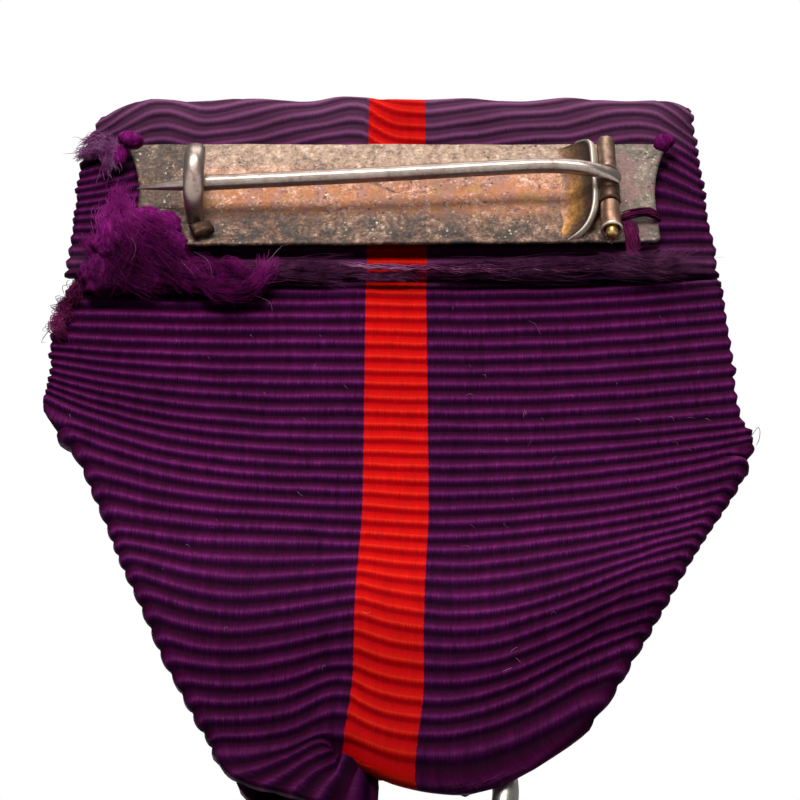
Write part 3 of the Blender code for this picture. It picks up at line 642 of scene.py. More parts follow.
# (y, z) of the strip from the flap's foot over the top, down the front, through the ring and up the back
RIBBON_PATH = (
    (1.35, -5.5), (1.35, -2), (1.35, 2), (1.33, 5), (1.15, 6.6), (0.86, 7.9), (1.0, 8.95), (1.5, 9.5),
    (2.1, 9.66), (2.75, 9.45), (3.2, 8.9), (3.36, 8.2), (3.35, 5), (3.35, 0), (3.35, -5), (3.28, -11),
    (3.15, -17), (3.0, -23), (2.9, -28), (2.85, -32), (2.8, -34.5), (2.65, -36.6), (2.45, -37.9),
    (2.2, -38.5), (1.85, -38.6), (1.55, -38.3), (1.36, -38.0), (1.15, -37.8), (0.92, -38.1), (0.75, -38.6),
    (0.45, -39.1), (0.1, -39.05), (-0.15, -38.5), (-0.3, -37.6), (-0.38, -35), (-0.6, -33), (-0.65, -31),
    (-0.25, -28.5), (0.4, -25.5), (0.82, -21.2), (1.1, -17), (1.12, -13), (1.1, -9), (1.25, -7.2),
    (1.8, -6.0), (2.15, -4.5), (2.15, -1.2))


def ribbon_spine():
    """Evenly spaced (y, z) stations along the strip, the rib count at each, and the strip's length."""
    length = length_along(spline(RIBBON_PATH, 4000))[-1]
    count = round(length) * ROWS_PER_RIB + 1
    return spline(RIBBON_PATH, count), np.arange(count) / ROWS_PER_RIB, length


def edge_places(z):
    """Left and right edges of the back run at height z."""
    left = table(-z, (-10, -17.7), (-6, -18.0), (2, -18.3), (7, -18.75), (9.4, -19.1), (11, -19.3),
                 (13.2, -19.0), (14.6, -19.15), (15.6, -19.35), (16.3, -19.1), (17.2, -18.3),
                 (18.5, -17.35), (19.9, -16.5), (21.4, -15.9), (24.3, -14.75), (27.2, -13.7),
                 (30.3, -12.4), (32.8, -11.4), (35.0, -10.35), (37.1, -9.25), (38.2, -8.6), (41, -8.0))
    right = table(-z, (-10, 17.7), (-6, 18.0), (2, 18.2), (7, 18.5), (11, 18.6), (15, 18.55),
                  (16.8, 18.7), (17.6, 19.05), (18.5, 19.1), (19.6, 18.55), (21.4, 17.75), (24.3, 16.1),
                  (27.2, 14.65), (30.3, 13.05), (32.8, 11.65), (35.0, 10.45), (36.6, 9.5), (37.6, 8.9),
                  (38.4, 7.9), (39.0, 6.9), (39.6, 5.5), (40.2, 4.4), (41, 3.0))
    return left, right


def rib_lift(x, z):
    """How far the ribs of the back run stand above their height at the stripe."""
    low = -z
    stripe = -1.75 - 0.4 * ease(low, 28, 39)
    left, right = np.maximum(stripe - x, 0), np.maximum(x - stripe, 0)
    rise = table(low, (8, 0.1), (12, 0.55), (16, 2.0), (19, 3.2), (22, 3.5), (25, 2.8), (27, 1.9),
                 (29, 1.1), (31, 0.9), (36, 0.8))
    lift = rise * (left / 16.2) ** table(low, (8, 3), (20, 2.6), (25, 2.1), (30, 2.4))
    sag = table(low, (26, 0.0), (27.5, 0.45), (29.5, 0.95), (32, 1.25), (37, 1.1), (39, 0.7))
    span = table(low, (26, 9.5), (32, 10.5), (37, 10.5))
    lift -= sag * np.sin(np.pi * np.clip(left / span, 0, 1.25) ** 1.25)
    rise = table(low, (8, 0.6), (18, 0.75), (22, 1.6), (26, 1.8), (30, 1.7), (36, 1.5))
    span = table(low, (8, 18.0), (18, 18.5), (24, 17.5), (30, 14.5), (36, 11.0))
    lift += rise * (right / span) ** 3
    dip = table(low, (10, 0.16), (20, 0.22), (26, 0.26), (28, 0.55), (30, 1.0), (36, 1.0), (40, 0.9))
    lift -= dip * np.sin(np.pi * np.clip(right / (0.83 * span), 0, 1.2) ** 0.9)
    lift -= 0.30 * np.clip(x + 1.4, 0, 5.0) * ease(low, 37.5, 40.5)
    return lift


def top_sway(x):
    """How far up the ribs of the top fold stand, across it."""
    return soft_table(x, 0.45, (-19.5, -2.9), (-18, -2.1), (-16.6, -1.15), (-15, -0.5), (-13.9, -0.45),
                      (-11.9, -1.2), (-10.2, -0.85), (-7.5, -0.15), (-5, 0.5), (-2.9, 0.95), (-1.9, 0.85),
                      (-0.9, 0.1), (0, -0.35), (2, -0.5), (4, -0.1), (6, 0.15), (8, 0.5), (10, 0.7),
                      (12.5, 1.35), (14.6, 1.7), (16, 1.45), (17.2, 0.6), (18.5, -0.8), (19.5, -1.8))


def strip_edges(y, z, flap, back):
    """The strip's left and right edges at each station, and how far each is turned in there."""
    left_b, right_b = edge_places(z)
    for _ in range(3):
        edge_l, edge_r = z + rib_lift(left_b, z), z + rib_lift(right_b, z)
        left_b, right_b = edge_places(edge_l)[0], edge_places(edge_r)[1]
    # The front run's outline stands a little lower than the back run's, so that it stays hidden behind it.
    behind = z - (2.5 + 1.6 * ease(-z, 18, 33)) * ease(-z, 9, 13)
    left_f, right_f = edge_places(behind)
    left_f, right_f = left_f + 0.25, right_f - 0.25
    turn = ease(y, 1.9, 0.4) * (z < -30) + back * (z >= -30)
    left = left_f + (left_b - left_f) * turn
    right = right_f + (right_b - right_f) * turn
    left = np.where(flap, table(-z, (-9.5, -18.1), (-6, -18.6), (-4, -19.0), (5.5, -18.95)), left)
    right = np.where(flap, table(-z, (-9.5, 17.9), (-6, 18.1), (1, 18.25), (3, 18.45), (5.5, 18.35)), right)
    # Below the shoulders each edge is the fold where the cloth turns in.
    curl_l = ease(-np.where(back, edge_l, behind), 16.4, 18.6) * ~flap
    curl_r = ease(-np.where(back, edge_r, behind), 18.6, 20.8) * ~flap
    return left, right, curl_l, curl_r


def curl_line(share, kappa):
    """Across and inward travel (a unit long) of an edge curled through a half turn times share."""
    angle = np.pi * share * ease(kappa, 0.05, 0.75)
    step = np.diff(kappa, prepend=kappa[0])
    return np.cumsum(np.cos(angle) * step), np.cumsum(np.sin(angle) * step)


def flat_rows(y, z, flap, back, edges):
    """The strip before its waves: points, and each point's place across the flat cloth."""
    rows = len(y)
    kappa = np.linspace(0, 1, CURL_COLUMNS)
    u = np.linspace(-1, 1, MAIN_COLUMNS)
    surface = np.zeros((rows, MAIN_COLUMNS + 2 * (CURL_COLUMNS - 1), 3))
    flat_x = np.zeros(surface.shape[:2])
    inward = np.where(flap, 0.0, np.where(back, 1.0, -1.0))
    for row, (left, right, curl_l, curl_r) in enumerate(zip(*edges)):
        reach_l, in_l = curl_line(curl_l, kappa)
        reach_r, in_r = curl_line(curl_r, kappa)
        inner_l = left + CURL_WIDTH * reach_l.max()
        inner_r = right - CURL_WIDTH * reach_r.max()
        main = inner_l + (u + 1) / 2 * (inner_r - inner_l)
        deep = np.concatenate([CURL_WIDTH * in_l[:0:-1], np.zeros(MAIN_COLUMNS), CURL_WIDTH * in_r[1:]])
        surface[row, :, 0] = np.concatenate([
            (inner_l - CURL_WIDTH * reach_l)[:0:-1], main, (inner_r + CURL_WIDTH * reach_r)[1:]])
        surface[row, :, 1] = y[row] + inward[row] * deep
        surface[row, :, 2] = z[row]
        flat_x[row] = np.concatenate([
            (inner_l - CURL_WIDTH * kappa)[:0:-1], main, (inner_r + CURL_WIDTH * kappa)[1:]])
    return surface, flat_x


def turn_at_pinches(surface, ribs, y, z, after):
    """Turns the cloth about the pinch into the longer left lobe, through the ring and out again.
    It changes the surface and gives back the ribs, which fan out there."""
    x, ys, zs = surface[..., 0], surface[..., 1], surface[..., 2]
    for sign, (pinch_x, pinch_z) in PINCHES:
        mine = np.sign(after + 1e-9) == sign
        level = int(np.argmin(np.where(mine, np.abs(z - pinch_z), 9) + (np.abs(after) < 3.0)))
        span = abs(after[level])
        reach = (span - np.abs(after)) / span
        share = ease(reach, 0, 1) * mine
        angle = (np.pi / 2 * np.clip(reach, 0, 1) * mine)[:, None]
        dist = np.clip(pinch_x - x, 0, None)
        soft = ease(dist, 0.0, 1.4)
        squeeze = dist * (1 - 0.27 * ease(angle, 0.0, 0.9))
        ribs = ribs - sign * FAN_RIBS * reach[:, None].clip(0, 1) * mine[:, None] * soft
        turned_x = pinch_x + 1.3 * share[:, None] - squeeze * np.cos(angle)
        turned_z = pinch_z - squeeze * np.sin(angle)
        hit = (angle > 0) * soft
        level_y = y[level] + (LOOP_MIDDLE[0] - y[level]) * ease(reach, 0.72, 1.0)[:, None]
        ys[...] = ys * (1 - hit) + (level_y - 0.10 * sign * np.sin(angle)) * hit
        lifted = (zs - z[:, None]) * (1 - ease(angle, 0, 1.2))
        x[...] = x * (1 - hit) + turned_x * hit
        zs[...] = zs * (1 - hit) + (turned_z + lifted) * hit
    return ribs


def bunch_in_ring(surface):
    """Draws the cloth together where it passes through the ring's hole."""
    x, ys, zs = surface[..., 0], surface[..., 1], surface[..., 2]
    in_ring = ease(0.95 - np.abs(ys - LOOP_MIDDLE[0]), 0.0, 0.45) * (zs < -34)
    hole_x, hole_z, room = RING_HOLE
    dx, dz = x - hole_x, zs - hole_z
    radius = np.hypot(dx, dz)
    held = np.minimum(radius, room * np.tanh(radius / room))
    scale = 1 + in_ring * (held / np.maximum(radius, 1e-6) - 1)
    x[...] = hole_x + dx * scale
    zs[...] = hole_z + dz * scale


def ribbon_strip():
    """The strip's middle surface, the place across the flat cloth and the rib count at each point, and
    the strip's length."""
    spine, ribs, length = ribbon_spine()
    y, z = spine[:, 0], spine[:, 1]
    station = np.arange(len(spine))
    half_way = int(np.argmin(np.hypot(y - LOOP_MIDDLE[0], z - LOOP_MIDDLE[1])))
    top = int(np.argmax(z))
    back, flap = station > half_way, station < top
    edges = strip_edges(y, z, flap, back)
    surface, flat_x = flat_rows(y, z, flap, back, edges)
    left, right = edges[:2]
    x, ys, zs = surface[..., 0], surface[..., 1], surface[..., 2]
    spread = np.clip((x - left[:, None]) / (right - left)[:, None], 0, 1)
    is_back = (back & (z < FLAP_FOOT))[:, None] * np.ones_like(x)
    # The ribs of the back run droop and rise across it.
    lift = rib_lift(x, zs)
    zs += lift * is_back * ease(-zs, 5.5, 7.5)
    # The cloth is drawn to the left near its foot, and the stripe with it.
    drift = -0.05 - 0.35 * ease(-z, 22, 32) - 0.45 * ease(-z, 34, 39.5)
    flat_x -= drift[:, None] * 4 * spread * (1 - spread) * is_back
    # Crown and slow waves.
    crown = 0.22 * (2 * np.abs(spread - 0.5)) ** 2.2
    ys += np.where(is_back > 0, 1.0, -1.0) * crown * ease(-zs, 7, 20) * (1 - ease(-zs, 33, 38))
    ys += is_back * 0.16 * np.sin(x * 0.42 + 0.8) * ease(-zs, 18, 27) * (1 - ease(-zs, 34, 38))
    # The top fold: its ribs wave across it, and its corners round off and turn down.
    up = (station[:, None] - top) / ROWS_PER_RIB
    fold, rounding = bell(up, 0, 5.0), bell(up, 0, 3.6)
    ribs = ribs[:, None] - ease(up, -13, -6.5) * ease(up, 9, 3) * top_sway(x)
    ripple = np.sin(x * 0.95 + 0.35 * up) + 0.6 * np.sin(x * 1.9 + 1.1 - 0.3 * up)
    zs += 0.035 * ripple * fold * ease(np.abs(x), 1.8, 4.5)
    zs += 0.28 * bell(x, -2.6, 1.7) * fold
    ys += 0.15 * np.cos(x * 0.95 + 0.9 * up) * fold * ease(np.abs(x), 2, 5)
    zs -= rounding * (2.5 * ease(-x, 14.8, 20.2) ** 0.9 + 1.55 * ease(x, 15.4, 19.6) ** 0.9)
    # The foot: the ribs rise at the pinch, then the cloth turns through the ring.
    zs += 0.6 * bell(x, -3.1, 1.3) * ease(-zs, 32, 37.2) * is_back
    ribs = turn_at_pinches(surface, ribs, y, z, (station - half_way) / ROWS_PER_RIB)
    bunch_in_ring(surface)
    # The pinch is a crease that goes in behind the stripe's left edge.
    ys += 0.75 * bell(x, -2.75, 0.75) * bell(zs, -39.2, 1.3) * is_back
    # Small unevenness.
    place = surface.copy()
    zs += 0.05 * wave(place, 0.45, 3.1)
    ys += 0.03 * wave(place, 0.7, 7.7)
    return surface, flat_x, ribs, length


def ribbon_half(ribs):
    """Half the cloth's thickness: round ribs with narrow valleys between them."""
    off = np.abs(ribs - np.round(ribs)) * 2
    return VALLEY + RIB_RISE * np.clip(1 - 0.985 * off**2, 0, 1) ** 0.62


def make_ribbon():
    surface, flat_x, ribs, length = ribbon_strip()
    half = ribbon_half(ribs)
    half *= 1 + 0.10 * wave(np.stack([surface[..., 0] * 0.25, ribs, 0 * flat_x], -1), 0.9, 11.0)
    # Selvedges: each rib ends in a small rounded loop.
    rng = np.random.default_rng(5)
    loops = len(surface) // ROWS_PER_RIB + 2
    for edge, beside, sign in ((0, 1, -1), (-1, -2, 1)):
        uneven = np.interp(ribs[:, edge], np.arange(loops), rng.uniform(0.3, 1.0, loops))
        bulge = sign * ((0.5 + 0.5 * np.cos(TAU * ribs[:, edge])) * uneven - 0.45)
        surface[:, edge, 0] += 0.26 * bulge
        surface[:, beside, 0] += 0.14 * bulge
    half[:, [0, -1]] *= 0.62
    return shell("ribbon_strip", surface, half, RIBBON, np.stack([flat_x, ribs], -1), edge=0.8), length


def make_side_fold(name, side, shoulder):
    """The ribbon's side, folded in between the two runs from below the shoulder to near the ring."""
    rows, columns = 16 * ROWS_PER_RIB + 1, 13
    z = np.linspace(shoulder - 1.0, -34.0, rows)
    left, right = edge_places(z)
    outer = (left if side < 0 else right) - side * 0.75
    width = np.clip((RIBBON_WIDTH / 2 + 0.2 - np.abs(outer)) * 0.9, 0.3, 5.2)
    u = np.linspace(0, 1, columns)
    surface = np.zeros((rows, columns, 3))
    surface[..., 0] = outer[:, None] - side * width[:, None] * u
    surface[..., 1] = table(-z, (17, 2.1), (25, 1.75), (30, 1.45), (34, 1.35))[:, None] + 0.12 * np.sin(3 * u)
    surface[..., 2] = z[:, None]
    ribs = np.repeat((z - z[0])[:, None], columns, 1)
    uv = np.stack([surface[..., 0], ribs], -1)
    if side > 0:
        surface, uv = surface[:, ::-1], uv[:, ::-1]
    return shell(name, surface, ribbon_half(ribs) * 0.8, RIBBON_PLAIN, uv, edge=0.5)


ribbon, ribbon_length = make_ribbon()
side_folds = [make_side_fold("side_fold_left", -1, -17.0), make_side_fold("side_fold_right", 1, -19.2)]
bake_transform(ribbon)
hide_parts("ribbon_front", "ribbon_back", "ribbon_loop")
for piece, node in zip(side_folds, ("ribbon_fold_left", "ribbon_fold_right")):
    attach(piece, "brooch", "ribbon_silk", node)


# ---------------------------------------------------------------- brooch plate and hinge

PLATE_HALF_HEIGHT = 4.3
PLATE_SHEET = 0.12  # half its thickness
AXLE = np.array([12.25, -0.95])
AXLE_SPAN = (-4.6, 3.7)


def make_plate():
    """A thin bar whose ends curve in to a waist, with edges worn unevenly."""
    rows, columns = 71, 221
    v = np.sin(np.linspace(-1, 1, rows) * np.pi / 2) * 0.35 + np.linspace(-1, 1, rows) * 0.65
    u = np.linspace(-1, 1, columns)
    z = PLATE_HALF_HEIGHT * v[:, None] + 0.17 * (1 - v[:, None]) / 2 * (1 + u)
    above = np.clip((z + 0.8) / 5.1, 0, 1) ** 2
    below = np.clip((-0.8 - z) / 3.5, 0, 1) ** 2
    end = 15.05 + 1.05 * above + np.where(u > 0, 0.12, 0.35) * below
    end -= 0.25 * ease(-v, 0.93, 1.0)[:, None] * (u > 0) + 0.08 * ease(v, 0.95, 1.0)[:, None]
    x = u * end
    place = np.stack([x, 0 * x, z], -1)
    rough = wave(place, 0.55, 2.0) * 0.018 + wave(place, 2.2, 9.0) * 0.010
    channel = 0.035 * bell(z, -3.4, 0.30)
    edge_wear = 0.05 * wave(np.stack([x, 0 * x, np.sign(z) * 5], -1), 0.9, 4.0)
    edge_wear *= ease(np.abs(v), 0.9, 1)[:, None]
    surface = np.stack([x, PLATE_SHEET + rough + channel, z + edge_wear], -1)
    half = PLATE_SHEET - 0.03 * ease(np.abs(v), 0.985, 1.0)[:, None] - 0.02 * ease(np.abs(u), 0.994, 1.0)
    return shell("plate_bar", surface[::-1], half, PATINA, edge=0.8)


def make_stop():
    """A sheet that curls up off the plate to a worn, rounded rim beside the hinge."""
    rows, columns = 41, 61
    start, bend, angle, height = 9.45, 2.5, math.radians(58), 3.95
    v = np.linspace(-0.985, 0.985, columns)
    reach = bend * angle * (1 - np.abs(v) ** np.where(v > 0, 9, 3)) ** np.where(v > 0, 0.3, 0.5)
    rise = np.linspace(0, 1, rows)[:, None]
    turn = rise * reach / bend
    dent = 0.16 * bell(v * height, 0.75, 0.8) * rise**2
    root = 0.2 * ease(turn, 0.0, 0.55) - 0.16
    surface = np.stack([start + bend * np.sin(turn) + 0.10 * dent, -(root + bend * (1 - np.cos(turn))) + dent,
                        v * height * np.ones_like(turn)], -1)
    surface[..., 1] += 0.03 * wave(surface, 0.9, 6.0)
    half = 0.15 * np.ones((rows, columns))
    half[-3:-1] = (0.18,), (0.22,)
    share = reach / reach.max()
    uv = np.stack([np.broadcast_to(v, (rows, columns)), rise * share + (1 - share)], -1)
    return shell("stop_sheet", surface, half, STOP_SHEET, uv, edge=0.75)


def rolled_sheet(name, span, radius, half, material, lip=0.0, shift=0.0):
    """A sheet that rises from the plate and rolls round the hinge's axle."""
    rows, columns = 84, 26
    turn = np.linspace(math.radians(96), math.radians(-246), 70)
    centre = AXLE + (shift, 0)
    roll = centre + radius * np.stack([np.cos(turn), np.sin(turn)], -1)
    line = spline(np.vstack([[centre[0] + 0.05, 0.12], [centre[0] + 0.03, -0.1], roll]), rows)
    v = np.linspace(span[0], span[1], columns)
    surface = np.zeros((rows, columns, 3))
    surface[..., :2] = line[:, None]
    surface[..., 2] = v
    if lip:
        flare = lip * bell(v, span[0], 0.24)
        surface[..., :2] += unit(line[:, None] - centre) * flare[None, :, None]
    surface += 0.03 * wave(surface, 1.1, span[0])[..., None] * np.array([1, 1, 0])
    low = np.broadcast_to(1 - (v - v[0]) / (v[-1] - v[0]), (rows, columns))
    uv = np.stack([0 * low, low], -1)
    return shell(name, surface, half, material, uv, edge=0.7)


def make_pin():
    """A tapered wire, a little flattened where it turns down over its knuckle."""
    route = [(-15.05, -1.05, -0.76), (-13.2, -1.35, -0.84), (-11, -1.6, -0.88), (-5.5, -1.8, -0.70),
             (0.2, -1.92, -0.40), (5.5, -2.0, -0.04), (8.4, -2.06, 0.10), (10.0, -2.08, 0.0),
             (11.2, -2.04, -0.18), (12.0, -1.88, -0.29), (12.55, -1.70, -0.34), (12.93, -1.46, -0.37)]
    path = spline(route, 200)
    along = length_along(path)
    flat = ease(along, 25.6, 27.6)
    taper = np.clip(0.03 + along / 3.6, 0, 1) ** 0.8
    end = np.sqrt(np.clip((along[-1] - along) / 0.10, 0.25, 1))
    wide = (0.44 * taper * (1 - flat) + 0.50 * flat) * end
    thinned = 1 - 0.38 * ease(along, along[-1] - 0.9, along[-1])
    thick = (0.43 * taper * (1 - flat) + 0.27 * flat) * end * thinned
    return sweep("pin_bar", path, wide, thick, PIN_STEEL, sides=30, power=2.15)


def make_pin_roll():
    """The pin's own knuckle: its end rolled round the axle, with a step below the wire."""
    steps = [(0.36, 0.66), (0.60, 0.68), (0.66, 0.60), (0.66, -0.85), (0.60, -0.93), (0.60, -1.0),
             (0.66, -1.08), (0.66, -1.78), (0.60, -1.86), (0.36, -1.88)]

    def uneven(turn, radius, height):
        return radius * (1 + 0.02 * np.cos(turn * 3 + height)), height

    # The darkened steel paints the shade under the pin onto the roll.
    return turned("pin_roll", steps, (*AXLE, 0), (0, 0, 1), STEEL_SHADED, 56, uneven)


def make_hook():
    """The catch: a flattened wire bent into a C, thick over the pin, on a soldered foot."""
    centre_y, centre_z, radius = -0.8, -0.13, 1.93
    turn = np.linspace(math.pi, math.radians(3), 40)
    line = [(-11.66, -0.02, centre_z + radius * math.cos(math.pi) - 0.1)]
    line += [(-11.7 + 0.05 * math.sin(t), centre_y - radius * math.sin(t), centre_z + radius * math.cos(t))
             for t in turn]
    path = spline(line, 90)
    share = np.linspace(0, 1, 90)
    wide = 0.60 * (1 - 0.20 * ease(share, 0.55, 1.0)) * (1 - 0.15 * ease(share, 0.3, 0.0))
    thick = 0.50 * (1 - 0.12 * ease(share, 0.6, 1.0))
    tip = np.sqrt(np.clip((1 - share) / 0.03, 0, 1))
    return sweep("catch_hook_band", path, wide * (0.3 + 0.7 * tip), thick * (0.3 + 0.7 * tip), HOOK,
                 side=(1, 0, 0), sides=26, power=2.3)


def make_hook_foot():
    """Lump of solder and a cut block at the catch's foot."""
    low, high = (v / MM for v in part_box("catch_base"))
    middle = np.array(low + high) / 2
    rows, columns = 15, 15
    u, v = np.meshgrid(np.linspace(-1, 1, columns), np.linspace(-1, 1, rows))
    turn = math.radians(22)
    x, z = 0.62 * u, 0.46 * v
    bulge = (1 - np.abs(u) ** 4) * (1 - np.abs(v) ** 4)
    surface = np.stack([middle[0] + x * math.cos(turn) - z * math.sin(turn), -0.32 + 0.05 * v,
                        middle[2] + x * math.sin(turn) + z * math.cos(turn)], -1)
    surface[..., 1] += 0.05 * wave(surface, 1.6, 3.0)
    # The darkened steel paints the shade beneath the catch onto its foot.
    return shell("catch_block", surface, 0.18 + 0.12 * bulge, STEEL_SHADED, edge=0.8)


def make_axle():
    """The hinge's brass wire, with rounded ends."""
    low, high = AXLE_SPAN
    end = 0.12
    profile = [(0, low), (0.24, low + 0.01), (0.33, low + end), (0.36, low + 2 * end), (0.36, 0),
               (0.36, high - 2 * end), (0.33, high - end), (0.2, high - 0.01), (0, high)]
    return turned("axle_rod", profile, (*AXLE, 0), (0, 0, 1), BRASS, 32)


attach(make_plate(), "brooch", "tarnished_silver", "brooch_plate")
attach(make_stop(), "brooch", "tarnished_silver", "hinge_stop")
attach(rolled_sheet("knuckle_upper", (0.85, 3.4), 0.45, 0.08, SHEET, shift=0.06), "brooch",
       "tarnished_silver", "hinge_knuckle_upper")
attach(rolled_sheet("knuckle_lower", (-4.1, -2.0), 0.475, 0.085, KNUCKLE, lip=0.09), "brooch",
       "tarnished_silver", "hinge_knuckle_lower")
attach(make_axle(), "brooch", "brass", "hinge_axle")
attach(make_hook(), "brooch", "tarnished_silver", "catch_hook")
attach(make_hook_foot(), "brooch", "tarnished_silver", "catch_base")
attach(make_pin(), "pin", "pin_steel", "pin_wire")
attach(make_pin_roll(), "pin", "pin_steel", "pin_knuckle")


# ---------------------------------------------------------------- loose yarn and thread


def felt(name, blobs, material, lumps=0.22, seed=0.0):
    """Matted silk: overlapping lumpy ellipsoids, each (centre, radii)."""
    heap = Heap()
    way, faces = ball(32, 52), tube_faces(32, 52, flip=True)
    for centre, radii in blobs:
        base = np.asarray(centre) + way * radii
        swell = 1 + lumps * wave(base, 0.75, seed) + 0.6 * lumps * wave(base, 2.1, seed + 5)
        swell += 0.22 * lumps * wave(base * (1, 1, 2.2), 4.6, seed + 9)
        heap.put(np.asarray(centre) + way * radii * swell[:, None], faces)
    return heap.mesh(name, material)

FIBRE_SWAY = 0.15
FIBRE_TRIM = 0.35  # the most that a fibre may fall short of its guide line at either end


def lock(rng, guide, width, count, radius):
    """A lock of fine fibres that follow a guide line loosely; gives (lines, radii)."""
    path = spline(guide, 26)
    lines, radii = [], []
    share = np.linspace(0, 1, 26)
    fan = 0.55 + 2 * (share - 0.25) ** 2
    for _ in range(count):
        start = rng.uniform(0, FIBRE_TRIM)
        end = rng.uniform(1 - FIBRE_TRIM, 1)
        keep = np.linspace(start, end, 15)
        shift = rng.normal(size=3) * width * (1.25, 0.8, 1.25)
        bow = rng.normal(size=(2, 3)) * FIBRE_SWAY * (1.6, 0.6, 1.6)
        beat = rng.uniform(1.2, 3.4)
        swing = (np.sin(keep * beat * math.pi + rng.uniform(0, TAU))[:, None] * bow[0]
                 + np.sin(keep * beat * 2.3 * math.pi)[:, None] * bow[1] * 0.45)
        centre = np.stack([np.interp(keep, share, path[:, k]) for k in range(3)], -1)
        size = np.interp(keep, share, fan)[:, None]
        lines.append(centre + shift * size + swing)
        radii.append(radius * rng.uniform(0.7, 1.3))
    return lines, radii


def locks(name, seed, guides, material, radius=0.013):
    """Locks of loose fibres as one piece; guides holds (points, width, count)."""
    rng = np.random.default_rng(seed)
    lines, radii = [], []
    for guide, width, count in guides:
        more, sizes = lock(rng, guide, width, count, radius)
        lines += more
        radii += sizes
    return strands(name, lines, radii, material)


end_felt = felt("felt_end", (
    ((-15.2, -0.75, -4.3), (2.0, 0.75, 2.3)), ((-16.2, -0.1, -2.0), (0.85, 0.7, 1.7)),
    ((-13.6, -0.6, -4.9), (1.5, 0.65, 1.7)), ((-15.9, 0.0, -6.6), (2.3, 0.75, 1.7)),
    ((-13.4, -0.1, -6.6), (2.0, 0.6, 1.3)),
    ((-13.3, -0.45, -3.3), (1.0, 0.5, 1.3)), ((-12.95, -0.3, -4.6), (0.75, 0.45, 1.0)),
    ((-14.6, -0.4, -2.5), (1.2, 0.45, 0.9)),
    ((-12.3, 0.2, -7.0), (1.9, 0.5, 1.0))), FELT, seed=1.0)
# This felt takes the darker matted silk as painted shade.
foot_felt = felt("felt_foot", (
    ((-10.6, 0.35, -6.4), (1.9, 0.5, 0.9)), ((-9.0, 0.35, -7.6), (1.2, 0.45, 0.9)),
    ((-7.9, 0.4, -6.9), (0.6, 0.4, 1.2))), FELT_SHADED, seed=3.0)
end_locks = locks("floss_end", 3, (
    ([(-16.1, -0.2, 0.6), (-16.0, -0.8, -1.6), (-15.4, -1.3, -4.0), (-14.2, -1.2, -6.0)], 0.34, 330),
    ([(-16.7, 0.1, -0.9), (-16.6, -0.6, -3.2), (-15.6, -1.0, -5.6), (-13.6, -0.8, -7.2)], 0.34, 300),
    ([(-16.2, -0.9, -2.2), (-14.8, -1.3, -3.6), (-13.6, -1.1, -4.2), (-12.5, -0.7, -4.6)], 0.30, 260),
    ([(-16.4, -0.9, -3.6), (-15.0, -1.4, -4.6), (-13.4, -1.1, -5.6), (-11.9, -0.4, -6.6)], 0.34, 300),
    ([(-15.2, -0.9, -2.4), (-14.6, -1.3, -4.4), (-14.9, -1.2, -6.0), (-15.8, -0.6, -7.4)], 0.32, 240),
    ([(-17.9, 0.4, -3.2), (-17.0, -0.3, -5.4), (-15.4, -0.4, -7.2), (-13.2, -0.1, -8.1)], 0.30, 220),
    ([(-14.4, -1.1, -5.2), (-13.6, -1.0, -6.2), (-12.6, -0.5, -7.0), (-11.0, 0.0, -7.5)], 0.30, 220),
), YARN)
foot_locks = locks("floss_foot", 4, (
    ([(-12.4, -0.1, -6.2), (-11.0, -0.2, -7.4), (-9.6, -0.2, -8.3), (-8.2, -0.1, -8.0)], 0.22, 170),
    ([(-9.8, -0.1, -8.3), (-8.4, -0.3, -8.1), (-7.5, -0.3, -7.1), (-7.2, -0.1, -5.6)], 0.18, 170),
    ([(-11.9, 0.1, -5.5), (-10.6, -0.1, -6.0), (-9.8, -0.1, -7.0), (-9.2, -0.1, -8.2)], 0.22, 120),
    ([(-10.4, 0.0, -6.6), (-9.5, -0.3, -6.2), (-8.6, -0.3, -6.8), (-8.2, -0.2, -7.6)], 0.15, 90),
), YARN)
attach(end_felt, "brooch", "silk_yarn", "frayed_yarn_end")
attach(foot_felt, "brooch", "silk_yarn", "frayed_yarn_foot")
attach(end_locks, "brooch", "silk_yarn")
attach(foot_locks, "brooch", "silk_yarn")


def make_wing():
    """The pale frayed end of a thread, caught beside the top left corner."""
    return locks("pale_wing", 21, (
        ([(-17.1, 0.6, 4.6), (-17.6, 0.4, 5.1), (-18.2, 0.4, 5.2), (-18.7, 0.5, 4.6)], 0.13, 170),
        ([(-17.2, 0.6, 4.1), (-17.9, 0.4, 4.3), (-18.5, 0.4, 4.0), (-19.0, 0.5, 3.5)], 0.09, 190),
        ([(-17.0, 0.6, 3.4), (-17.4, 0.4, 4.2), (-17.9, 0.4, 4.6), (-18.4, 0.5, 4.4)], 0.13, 170),
        ([(-16.8, 0.4, 4.9), (-17.0, 0.2, 4.0), (-17.1, 0.2, 3.0), (-17.2, 0.4, 2.0)], 0.13, 90)),
        PALE_THREAD, 0.016)


def make_corner_rolls():
    """The ribbon's rolled, matted corners over both upper ends of the plate."""
    return felt("felt_corners", (
        ((-15.75, -0.1, 4.35), (0.62, 0.5, 0.5)), ((-16.15, 0.05, 4.85), (0.6, 0.45, 0.5)),
        ((-16.5, 0.3, 3.6), (0.45, 0.35, 0.9)),
        ((15.75, 0.0, 4.15), (0.5, 0.45, 0.5)), ((15.95, 0.1, 4.6), (0.6, 0.45, 0.5))), FELT, 0.14, 7.0)


